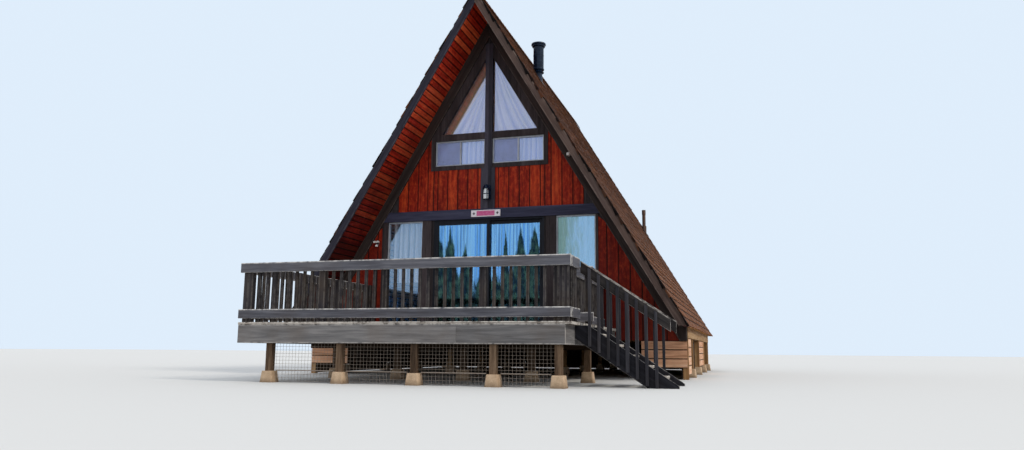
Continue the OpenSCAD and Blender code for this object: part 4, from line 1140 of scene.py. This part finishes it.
def stair_rail(outer, inward):
    """Sloping rail board, and balusters on its outer side that lap the stringer, as two shapes."""
    drop, cap_drop = 0.06, 0.02
    board_y = outer + inward * (BALUSTER + BOARD_T / 2)
    mid = RAIL_TOP - FLOOR - drop - RAIL_BOARD_H * math.hypot(1, PITCH) / 2
    ends = [[x, board_y, stair_z(x) + mid] for x in (STAIR_X, RAIL_END)]
    lean = -inward * PITCH
    rail = boards(*ends, (0, -inward, 0), RAIL_BOARD_H, BOARD_T, 0.005, lean, lean, rings=10, bow=0.002)
    x = spread(STAIR_X, RAIL_END - 0.06, BALUSTER_STEP)
    wide = np.where(np.arange(len(x)) == len(x) // 2, 1.25, 1.0) * BALUSTER
    y = outer + inward * BALUSTER / 2
    foot = np.maximum(stair_z(x) - STRINGER_H + 0.03, 0.004)
    top = stair_z(x) + RAIL_TOP - FLOOR - drop - cap_drop - BALUSTER * PITCH / 2
    ends = (xyz(x, y, foot), xyz(x, y, top))
    return rail, boards(*ends, (0, -inward, 0), wide, BALUSTER, 0.003, 0.0, inward * PITCH)


STAIR_RAILS = zip(stair_rail(STAIR_FRONT - BALUSTER, 1), stair_rail(STAIR_REAR + BALUSTER, -1))
for name, finish, pair in zip(("rail_boards", "uprights"), (STAIR_PAINT, STAIR_DARK), STAIR_RAILS):
    piece("stair_" + name, joined(*pair), finish, ["stair_rails"])


# Below the floor
DECK_COLS = np.array([-1.935, -0.825, 0.285, 1.395, FASCIA_RIGHT - 0.1])
DECK_ROW = DECK_FRONT + 0.102
PIER_H = high("pier_blocks")[2]
PIER_W = 0.2
SIDE_POST_IN = high("crawl_boards")[0]
PIER_ROWS = np.round([WALL + 1.25, WALL + 3.1767, WALL + 5.1033, REAR - PIER_W / 2 + 0.01], 3)
SIDE_COL, INNER_COL = SIDE_POST_IN + POST_W / 2, (SIDE_POST_IN - 0.004) / 3
HOUSE_COLS = np.array([-SIDE_COL, -INNER_COL, INNER_COL, SIDE_COL])


def pier_blocks():
    """Cast blocks: rounded squares stacked from a wide foot to a narrower top, each a little uneven. Four
    columns stand under the house in rows from front to back, five under the deck."""
    levels = np.array([0.0, 0.006, 0.05, 0.1, 0.148, 0.157, 0.16]) * PIER_H / 0.16
    size = np.array([0.99, 1.0, 0.94, 0.88, 0.82, 0.8, 0.76]) * PIER_W / 2
    sides = 24
    angle = np.arange(sides) * 2 * math.pi / sides + math.pi / sides
    square = np.stack([np.sign(v) * np.abs(v) ** 0.22 for v in (np.cos(angle), np.sin(angle))], 1)
    faces = tubes(1, len(levels), sides)
    places = [(x, y) for y in PIER_ROWS for x in HOUSE_COLS]
    places += [(x, y) for y in (DECK_ROW, (DECK_FRONT + WALL) / 2) for x in DECK_COLS]
    parts = []
    for x, y in places:
        rough = 1 + rng.normal(0, 0.006, (len(levels), sides, 1))
        xy = square[None] * size[:, None, None] * rough
        xy[0] = xy[0].clip(-PIER_W / 2, PIER_W / 2)
        points = xyz(xy[..., 0] + x, xy[..., 1] + y, levels[:, None]).reshape(-1, 3)
        parts.append(Shape(points, faces, [points[f][..., :2] for f in faces]))
    return joined(*parts)


piece("cast_piers", pier_blocks(), CONCRETE, ["pier_blocks"], smooth=True)

MESH_RAIL_Z = 0.17
MESH_CELL = 0.05
MESH_WIRE = 0.0018


def wire_mesh():
    """Welded wire between the deck's posts: upright and level wires about 50 mm apart, and one thicker
    bar."""
    top, base = DECK_UNDER - 0.258, 0.02
    starts, ends = [], []
    for a, b in zip(DECK_COLS[:-1], DECK_COLS[1:]):
        x0, x1 = a + PIER_W / 2 + 0.002, b - PIER_W / 2 - 0.002
        x = np.linspace(x0, x1, round((x1 - x0) / MESH_CELL) + 1)
        sag = rng.uniform(-0.003, 0.003, len(x))
        z = np.linspace(base, top, round((top - base) / MESH_CELL) + 1)
        wide = z > PIER_H + 0.004
        level_y = DECK_ROW + MESH_WIRE * 2
        starts += [xyz(x + sag, DECK_ROW, base), xyz(np.where(wide, a + POST_W / 2, x0), level_y, z)]
        ends += [xyz(x - sag, DECK_ROW, top), xyz(np.where(wide, b - POST_W / 2, x1), level_y, z)]
    bar_ends = (DECK_COLS[:-1] + PIER_W / 2, DECK_COLS[1:] - PIER_W / 2)
    return joined(bars(np.concatenate(starts), np.concatenate(ends), MESH_WIRE, 5),
                  bars(*(xyz(x, DECK_ROW - 0.008, MESH_RAIL_Z) for x in bar_ends), 0.006, 8))


piece("welded_wire", wire_mesh(), WIRE, ["deck_mesh"])

SKIRT_W = 0.77
SKIRT_H = 0.455
SKIRT_T = 0.025
SKIRT_GAP = 0.004


def skirting():
    """Skirt panels of level boards: three beside the deck on each side, and four in each stretch under the
    side beams."""
    (x1, _, beam_foot), skirt_foot = high("skirt_boards"), low("skirt_boards")[2]
    h = SKIRT_H / 3
    z = WALL_FOOT - (np.arange(3) + 0.5) * h
    y = WALL + SKIRT_T / 2
    parts = [boards(xyz(x1 - SKIRT_W, y, z), xyz(x1, y, z), FRONT, h - SKIRT_GAP, SKIRT_T, 0.004)]
    x = x1 - SKIRT_T / 2
    for y0, y1, foot in ((WALL + SKIRT_T + POST_W, WALL + 1.0, skirt_foot),
                         (PIER_ROWS[1] + POST_W / 2, PIER_ROWS[2] - POST_W / 2, PIER_H + 0.002)):
        h = (beam_foot - foot) / 4
        z = foot + (np.arange(4) + 0.5) * h
        parts.append(boards(xyz(x, y0, z), xyz(x, y1, z), RIGHT, h - SKIRT_GAP, SKIRT_T, 0.004))
    return both_sides(joined(*parts))


piece("skirting_boards", skirting(), PALE_TIMBER, ["skirt_boards"])

CRAWL_W = 0.145


def crawl_boards():
    """Upright boards that close the space below the floor at both sides and at the back. A board that
    stands over a pier block ends just above it."""
    foot, top = low("crawl_boards")[2], high("crawl_boards")[2]

    def row(length, piers, place, facing):
        over = PIER_W / 2 + 0.004
        edges = np.unique(np.concatenate([[0.0], piers - over, piers + over, [length]]).clip(0.0, length))
        at, wide, start = [], [], []
        for a, b in zip(edges[:-1], edges[1:]):
            count = math.ceil((b - a) / CRAWL_W)
            at.append(a + (np.arange(count) + 0.5) * (b - a) / count)
            wide.append(np.full(count, (b - a) / count - 0.002))
            blocked = (np.abs((a + b) / 2 - piers) < PIER_W / 2).any()
            start.append(np.full(count, PIER_H + 0.004 if blocked else foot))
        at, wide, start = (np.concatenate(v) for v in (at, wide, start))
        return boards(place(at, start), place(at, top), facing, wide, SKIRT_T, 0.003)

    y0 = WALL + SKIRT_T
    side = row(REAR - SKIRT_T - y0, PIER_ROWS - y0,
               lambda at, z: xyz(SIDE_POST_IN - SKIRT_T / 2, y0 + at, z), RIGHT)
    back = row(2 * SIDE_POST_IN, SIDE_POST_IN + HOUSE_COLS,
               lambda at, z: xyz(at - SIDE_POST_IN, REAR - SKIRT_T / 2, z), BACK)
    return joined(both_sides(side), back)


piece("crawl_space_boards", crawl_boards(), CRAWL_PAINTED_SHADE, ["crawl_boards"])


# Curtains: sheets whose folds are sine waves across the cloth, put into Y
CLOTH_T = 0.0012


def sheet_shape(left, right, rows, columns, folds, depth, middle_y, seed=0, gather=None, sweep=0.0):
    """A hanging cloth between two edge lines. left and right give X and Z of the two edges from top to
    bottom, for shares from 0 to 1. The cloth lies at Y = middle_y plus depth times a sum of three sine
    waves across it, weaker where gather is small. sweep bends the folds towards the right edge on their way
    down. Its tone is how deep each face lies in a fold, from 0 to 1. Gives the shape, and the cloth's width
    along the folds, length and area."""
    draw = np.random.default_rng(seed)
    v = np.linspace(0, 1, rows)[:, None]
    u = np.linspace(0, 1, columns)[None, :]
    (lx, lz), (rx, rz) = left(v), right(v)
    phase = draw.uniform(0, 2 * math.pi, 4)
    bend = 0.35 * np.sin(v * 2.4 + phase[0])
    across = np.maximum(u, 1e-9) ** (1 / (1 + sweep * (0.5 - v)))
    turns = 2 * math.pi * folds * across
    wave = (
        np.sin(turns + bend + phase[1] + (0.9 * np.sin(turns * 0.37 + phase[2]) if sweep else 0.0))
        + 0.45 * np.sin(1.73 * turns + 0.8 * v + phase[2])
        + 0.3 * np.sin(0.41 * turns - 0.6 * v + phase[3])
    )
    strength = np.ones_like(v) if gather is None else gather(v)
    hollow = np.broadcast_to(0.5 + 0.5 * wave / 1.75 * strength, (rows, columns))
    front = xyz(lx + (rx - lx) * u, middle_y + depth * wave / 1.75 * strength, lz + (rz - lz) * u)
    points = np.concatenate([front.reshape(-1, 3), (front + [0, CLOTH_T, 0]).reshape(-1, 3)])
    j, i = np.meshgrid(np.arange(rows - 1), np.arange(columns - 1), indexing="ij")
    a = (j * columns + i).ravel()
    quad = np.stack([a, a + columns, a + columns + 1, a + 1], -1)
    back = quad[:, ::-1] + rows * columns
    rim = np.concatenate([np.arange(columns), np.arange(1, rows) * columns + columns - 1,
                          (rows - 1) * columns + np.arange(columns - 2, -1, -1),
                          np.arange(rows - 2, 0, -1) * columns])
    nxt = np.roll(rim, -1)
    edge = np.stack([rim, nxt, nxt + rows * columns, rim + rows * columns], -1)
    run = np.concatenate([[0], np.cumsum(np.linalg.norm(np.diff(front, axis=1), axis=2)[-1])])
    fall = np.concatenate([[0], np.cumsum(np.abs(np.diff(front[..., 2], axis=0)).max(1))])
    uv = np.tile(xyz(fall[:, None], run[None, :], 0)[..., :2].reshape(-1, 2), (2, 1))
    faces = [quad, back, edge]
    # fold depth goes into the tone map, which the cloth paints as shade
    fold = (hollow[:-1, :-1] + hollow[1:, 1:]).ravel() / 2
    down, over = front[1:, :-1] - front[:-1, :-1], front[:-1, 1:] - front[:-1, :-1]
    area = np.linalg.norm(np.cross(down, over), axis=-1).sum()
    shape = Shape(points, faces, [uv[f] for f in faces], None, [fold, fold, np.full(len(edge), 0.5)])
    return shape, float(run[-1]), float(fall[-1]), float(area)


def curtain(name, shape, material, replaces):
    cloth_shape, width, length, area = shape
    obj = piece(name, cloth_shape, material, replaces, smooth=True)


CLOTH_Y = WALL + 0.143
DRAPE_Y = WALL + 0.18
APEX_Z = slope_z(GLASS_INSET - 0.06, 0.01)
CLOTH_FOOT = low("gable_glass")[2] - 0.03


def fanned(v):
    """The folds of a gable curtain are flat at the top and full at the foot."""
    return 0.35 + 0.65 * v


def gable_right():
    """Right gable curtain: its folds fan out from the apex."""
    foot = CLOTH_FOOT
    far = slope_x(GLASS_INSET - 0.055, foot)
    return sheet_shape(lambda v: (0.02 + 0 * v, APEX_Z - 0.03 + (foot - APEX_Z + 0.03) * v),
                       lambda v: (0.045 + (far - 0.045) * v, APEX_Z - 0.05 + (foot - APEX_Z + 0.05) * v),
                       60, 190, 5.5, 0.036, CLOTH_Y, seed=3, gather=fanned, sweep=0.7)


def gable_left():
    """Left gable curtain: it hangs a hand's breadth inside the rafter, from a point below the apex."""
    foot, top = CLOTH_FOOT, 5.76
    near, far = 0.04, 0.83
    return sheet_shape(lambda v: (-near - (far - near) * v**1.04, top - 0.01 + (foot - top + 0.01) * v),
                       lambda v: (-0.012 + 0 * v, top + (foot - top) * v),
                       60, 160, 4.5, 0.032, CLOTH_Y, seed=5, gather=fanned, sweep=0.3)


def straight(x0, x1, z0, z1, folds, depth, middle_y, seed, columns=160, rows=24):
    return sheet_shape(lambda v: (x0 + 0 * v, z1 + (z0 - z1) * v), lambda v: (x1 + 0 * v, z1 + (z0 - z1) * v),
                       rows, columns, folds, depth, middle_y, seed=seed)


LOFT_LOW, LOFT_TOP = low("loft_curtains")[2], high("loft_curtains")[2]
for name, shape in (
    ("gable_curtain_right", gable_right()),
    ("gable_curtain_left", gable_left()),
    ("loft_curtain_right", straight(0.012, 1.13, LOFT_LOW, LOFT_TOP, 12, 0.016, CLOTH_Y, 7)),
    ("loft_curtain_left", straight(-1.07, -0.012, LOFT_LOW, LOFT_TOP, 11, 0.016, CLOTH_Y, 9)),
):
    curtain(name, shape, WHITE_CLOTH, [name.split("_")[0] + "_curtains"])

DRAPE_LOW, DRAPE_TOP = low("lower_curtains")[2], high("lower_curtains")[2] - 0.01
for name, x0, x1, foot, folds, seed, finish in (
    ("window_curtain_left", -WIN_OUT + 0.06, -WIN_IN, 1.74, 6, 11, CREAM_CLOTH),
    ("window_curtain_right", WIN_IN, WIN_OUT + 0.09, DRAPE_LOW, 8, 13, CREAM_CLOTH),
    ("door_drape_left", -1.17, -0.014, DRAPE_LOW, 9, 15, GREEN_CLOTH),
    ("door_drape_right", 0.014, 1.17, DRAPE_LOW, 9, 17, GREEN_CLOTH),
):
    curtain(name, straight(x0, x1, foot, DRAPE_TOP, folds, 0.026, DRAPE_Y, seed, 200, 30), finish,
            ["lower_curtains"])


# Pale boards that line the roof's underside just behind the gable wall, seen beside the curtains
LINING_BOARD = sloped_board(WALL + 0.185, WALL + 0.225, SOFFIT_D + 0.004, 0.66, HEADER_HIGH + 0.9, 0.003)
piece("inner_lining", both_sides(LINING_BOARD), LINING)


def rectangle(x0, x1, z0, z1):
    return [(x0, z0), (x1, z0), (x1, z1), (x0, z1)]


# Screens in front of the left half of each loft window
SCREEN_Y = WALL + 0.03
SCREEN_W = 0.47
SCREEN_QUADS = [rectangle(x, x + SCREEN_W, LOFT_SILL + 0.024, LOFT_HEAD - 0.024)
                for x in (-SIDE_X + 0.024, 0.097)]
piece("insect_screens", slabs(SCREEN_QUADS, SCREEN_Y, SCREEN_Y + 0.003, 0.0005), SCREEN)


# Pipes on the right slope
PIPE_X, PIPE_Y, _ = middle("stovepipe")
VENT_X, VENT_Y, _ = middle("vent_pipe")


def flashing(x, y, half, rise=0.005, thick=0.004):
    """Square metal sheet laid on the shingles round a pipe."""
    s = x * LEAN
    run = np.array([s - half * 1.2, s + half * 1.2])
    cells = [on_slope(a, b, -c) for a in run for b in (y - half, y + half) for c in (rise, rise + thick)]
    return wedges(np.stack(cells)[None], np.stack([np.repeat(run, 4), np.tile([0, 0, 1, 1], 2)], -1)[None])


def turned_on_roof(profile, x, y, sides, depth):
    """A turned shape whose lowest ring lies in the roof, at that depth below the top of the shingles."""
    shape = turned(profile, (x, y, 0), sides)
    shape.points[:sides, 2] = slope_z(depth, shape.points[:sides, 0])
    return shape


def offsets(radius, level, *pairs):
    """Pairs of radius and height, from pairs of offsets in millimetres."""
    return [(radius + r / 1000, level + z / 1000) for r, z in pairs]


PIPE_R = 0.1125
PIPE_FOOT_R = 0.0825
PIPE_UPPER = 0.62
CAP_R = high("stovepipe")[0] - PIPE_X


def stovepipe():
    """A narrow foot with a storm collar, a rolled ring, the wide pipe with a seam band, and a drum cap on a
    short neck."""
    top = high("stovepipe")[2]
    ring = top - PIPE_UPPER
    profile = offsets(PIPE_FOOT_R, ring, (0, -500), (0, -6))
    profile += offsets(PIPE_R, ring, (4, 0), (10, 6), (10, 26), (4, 34), (0, 36))
    profile += offsets(PIPE_R, top, (0, -300), (3, -296), (3, -272), (0, -268), (0, -94))
    profile += offsets(0, top, (136, -90), (140, -84), (140, -56))
    profile += offsets(CAP_R, top, (-8, -52), (-1, -46), (0, -30), (-4, -16), (-30, -6))
    profile += offsets(0, top, (50, -1), (12, 0))
    pipe = turned_on_roof(profile, PIPE_X, PIPE_Y, 44, 0.03)
    z = ring - 0.045
    collar = offsets(PIPE_FOOT_R, z, (-10, -10)) + offsets(0, z, (116, -14), (119, -10))
    collar += offsets(PIPE_FOOT_R, z, (6, 22), (-10, 24))
    return joined(pipe, turned(collar, (PIPE_X, PIPE_Y, 0), 36))


def vent():
    """Vent pipe with a boot round its foot and a rolled hood band."""
    top = high("vent_pipe")[2]
    profile = offsets(0.05, slope_z(0, VENT_X), (12, -300), (14, 100), (10, 125), (-5, 135))
    profile += offsets(0.05, top, (-5, -135), (-1, -130), (0, -120), (0, -12), (-3, -3), (-20, 0), (-40, 0))
    return turned_on_roof(profile, VENT_X, VENT_Y, 28, 0.02)


SHEETS = joined(flashing(PIPE_X, PIPE_Y, 0.19), flashing(VENT_X, VENT_Y, 0.12))
piece("stovepipe_parts", stovepipe(), BLACK_PAINTED_SKY, ["stovepipe"], smooth=True)
piece("pipe_flashing", SHEETS, BROWN_PIPE)
piece("vent_parts", vent(), BROWN_PIPE, ["vent_pipe"], smooth=True)


# Small fittings on the front
LANTERN_LOW, LANTERN_TOP = low("wall_lantern")[2], high("wall_lantern")[2]
LANTERN_X = middle("wall_lantern")[0]
LANTERN_WALL = high("wall_lantern")[1]
LANTERN_Y = LANTERN_WALL - 0.1


def round_part(level, *pairs):
    """A turned part of the lantern, from pairs of radius and height above a level, in millimetres."""
    return turned(offsets(0, level, *pairs), (LANTERN_X, LANTERN_Y, 0), 28)


def lantern():
    """Wall lantern: back plate, arm, a tall round hood with a finial, a band round the glass and slim
    bars."""
    x, y, z, top = LANTERN_X, LANTERN_Y, LANTERN_LOW, LANTERN_TOP
    wall = slabs([rectangle(x - 0.058, x + 0.058, z + 0.02, top)], LANTERN_WALL - 0.018, LANTERN_WALL, 0.006)
    arm = bars([(x, LANTERN_WALL - 0.01, top - 0.028)], [(x, y, top - 0.024)], 0.010, 8)
    hood = round_part(top, (50, -88), (64, -90), (69, -86), (70, -76), (60, -62), (52, -40), (40, -22),
                      (20, -14), (14, -8), (6, -3))
    band = round_part(z, (52, 98), (58, 100), (58, 112), (52, 114))
    foot = round_part(z, (20, 0), (48, 2), (50, 8), (46, 14))
    angle = np.radians([-60.0, -35.0, -8.0, 60.0, 120.0, 200.0])
    ring = xyz(x + 0.056 * np.cos(angle), y + 0.056 * np.sin(angle), z + 0.006)
    cage = bars(ring, ring + [0, 0, top - 0.08 - z - 0.006], 0.0055, 6)
    return joined(wall, arm, hood, band, foot, cage)


def lantern_glass():
    """Glass in two steps: a straight lower part and an upper part that narrows upward."""
    profile = offsets(0, LANTERN_LOW, (20, 10), (50, 12), (53, 20), (53, 100), (51, 112))
    profile += offsets(0, LANTERN_TOP, (42, -90), (20, -86))
    return turned(profile, (LANTERN_X, LANTERN_Y, 0), 28)


piece("lantern_body", lantern(), BLACK_PAINTED_SKY, ["wall_lantern"], smooth=True)
piece("lantern_glass", lantern_glass(), WARM_GLASS, smooth=True)

(BOARD_X0, BOARD_Y, BOARD_Z0), (BOARD_X1, _, BOARD_Z1) = low("door_board"), high("door_board")
BOARD_FACE = BOARD_Y + 0.002
BOARD_MID = (BOARD_Z0 + BOARD_Z1) / 2
DIAMOND_R = 0.026


def board_rectangle(end, edge):
    return rectangle(BOARD_X0 + end, BOARD_X1 - end, BOARD_Z0 + edge, BOARD_Z1 - edge)


def flat_on_board(quads):
    """Thin painted shapes that lie on the face of the small board."""
    return slabs(quads, BOARD_FACE - 0.002, BOARD_FACE + 0.001, 0.0008, False)


def diamond(x):
    r = DIAMOND_R
    return [(x - r, BOARD_MID), (x, BOARD_MID - r), (x + r, BOARD_MID), (x, BOARD_MID + r)]


SMALL_BOARD = slabs([board_rectangle(0, 0)], BOARD_FACE, BOARD_FACE + 0.018, 0.003, False)
DIAMONDS = [diamond(x) for x in (BOARD_X0 + 0.055, BOARD_X1 - 0.055)]
piece("small_board", SMALL_BOARD, BOARD_WHITE, ["door_board"])
piece("board_middle", flat_on_board([board_rectangle(0.11, 0.016)]), BOARD_PINK)
piece("board_diamonds", flat_on_board(DIAMONDS), BOARD_GREY)

SPOT_X, SPOT_Z = low("outside_lamps")[0] + 0.052, low("outside_lamps")[2] + 0.064
ROUND_X, ROUND_Z = high("outside_lamps")[0] - 0.036, high("outside_lamps")[2] - 0.036


def aimed(profile, x, y, z, sides=24):
    """A turned shape laid on its side, so that it stands out to the front from a place on the wall. The
    profile is in millimetres."""
    shape = turned(offsets(0, 0, *profile), (0, 0, 0), sides)
    px, py, pz = shape.points.T
    shape.points = np.stack([x + px, y - pz, z + py], 1)
    return shape


def lamp_heads():
    """Two short bell lamps and a small sensor, and the round lamp on the right rafter."""
    bell = ((12, 0), (14, 4), (17, 30), (20, 62), (21, 84), (18, 88), (14, 80), (6, 78))
    sensor = ((12, 0), (18, 6), (21, 30), (22, 48), (18, 58), (6, 60))
    bowl = ((26, 0), (34, 4), (36, 20), (35, 55), (28, 74), (10, 80))
    face = WALL - 0.02
    return joined(*(aimed(*lamp) for lamp in (
        (bell, SPOT_X - 0.031, face, SPOT_Z + 0.027), (bell, SPOT_X + 0.031, face, SPOT_Z + 0.031),
        (sensor, SPOT_X - 0.006, face, SPOT_Z - 0.042), (bowl, ROUND_X, WALL - RAFTER_T, ROUND_Z),
    )))


BASE = ((20, 0), (28, 3), (28, 22), (22, 29), (10, 30))
piece("lamp_heads", lamp_heads(), WHITE_PLASTIC, ["outside_lamps"], smooth=True)
piece("lamp_base", aimed(BASE, SPOT_X, WALL - 0.001, SPOT_Z), DARK_PLASTIC, smooth=True)


# Finishes of the CAD pieces that stay
for node, material in {
    "front_wall_left": WALL_CORE, "front_wall_right": WALL_CORE, "front_wall_upper": WALL_CORE,
    "rear_wall": REAR_CORE, "header_band": TRIM_LEVEL_PAINTED_SKY_SHADE, "centre_post": TRIM, "window_trim": TRIM_WARM,
    "rear_trim": TRIM_WARM, "gable_glass": GABLE_PANE, "window_frames": ALUMINIUM, "window_glass": PANE_PAINTED_REFLECTIONS,
    "door_frame": BRONZE, "fixed_door_panel": BRONZE, "sliding_door_panel": BRONZE,
    "sliding_door_glass": PANE_PAINTED_REFLECTIONS,
    "cabin_floor": INSIDE, "loft_floor": INSIDE, "floor_beams": BEAM_Y, "floor_joists": BEAM_X,
    "cabin_posts": POST_Z, "deck_beams": DULL_X_PAINTED_SHADE, "deck_joists": DULL_Y_PAINTED_SHADE, "deck_posts": DULL_Z_PAINTED_SUN,
}.items():
    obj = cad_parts[node]
    obj.data.materials.clear()
    obj.data.materials.append(material)


# Floor, light and background
FLOOR_SIZE = 140


def seen_directly(f):
    """1 where the camera sees a surface, also in a mirror or through glass, and 0 where it only lights
    others."""
    rays = f.node("LightPath").outputs
    seen = f.math("MAXIMUM", rays["Is Camera Ray"], rays["Is Glossy Ray"])
    return f.math("MAXIMUM", seen, rays["Is Transmission Ray"])


def studio():
    """Pale floor, a broad soft key light from the right, and an even pale surrounding."""
    mesh = bpy.data.meshes.new("floor")
    corners = [(x * FLOOR_SIZE, y * FLOOR_SIZE, 0) for x, y in ((-1, -1), (1, -1), (1, 1), (-1, 1))]
    mesh.from_pydata(corners, [], [(0, 1, 2, 3)])
    floor = bpy.data.objects.new("floor", mesh)
    bpy.context.scene.collection.objects.link(floor)
    f = Finish("pale_floor")
    f.set(Base_Color=f.mix(seen_directly(f), (0.4, 0.39, 0.37, 1), (0.64, 0.635, 0.62, 1)), Roughness=0.95,
          Specular_IOR_Level=0.1)
    mesh.materials.append(f.material)
    sun = bpy.data.lights.new("key", "SUN")
    sun.energy = 1.4
    sun.angle = math.radians(12)
    sun.color = (1.0, 0.93, 0.82)
    key = bpy.data.objects.new("key", sun)
    key.rotation_euler = (math.radians(50), 0, math.radians(75))
    bpy.context.scene.collection.objects.link(key)
    world = bpy.data.worlds.new("surrounding")
    bpy.context.scene.world = world
    world.use_nodes = True
    w = Nodes(world.node_tree)
    light = w.tree.nodes["Background"]
    w.put(light.inputs["Color"], (0.88, 0.93, 1.0, 1))
    w.put(light.inputs["Strength"], 1.05)
    seen = w.node("Background", {"Color": (0.74, 0.85, 0.97, 1), "Strength": 1.0})
    pick = w.node("MixShader", {0: seen_directly(w), 1: light.outputs[0], 2: seen.outputs[0]})
    w.put(w.tree.nodes["World Output"].inputs[0], pick.outputs[0])


studio()
bpy.context.scene.view_settings.view_transform = "Standard"
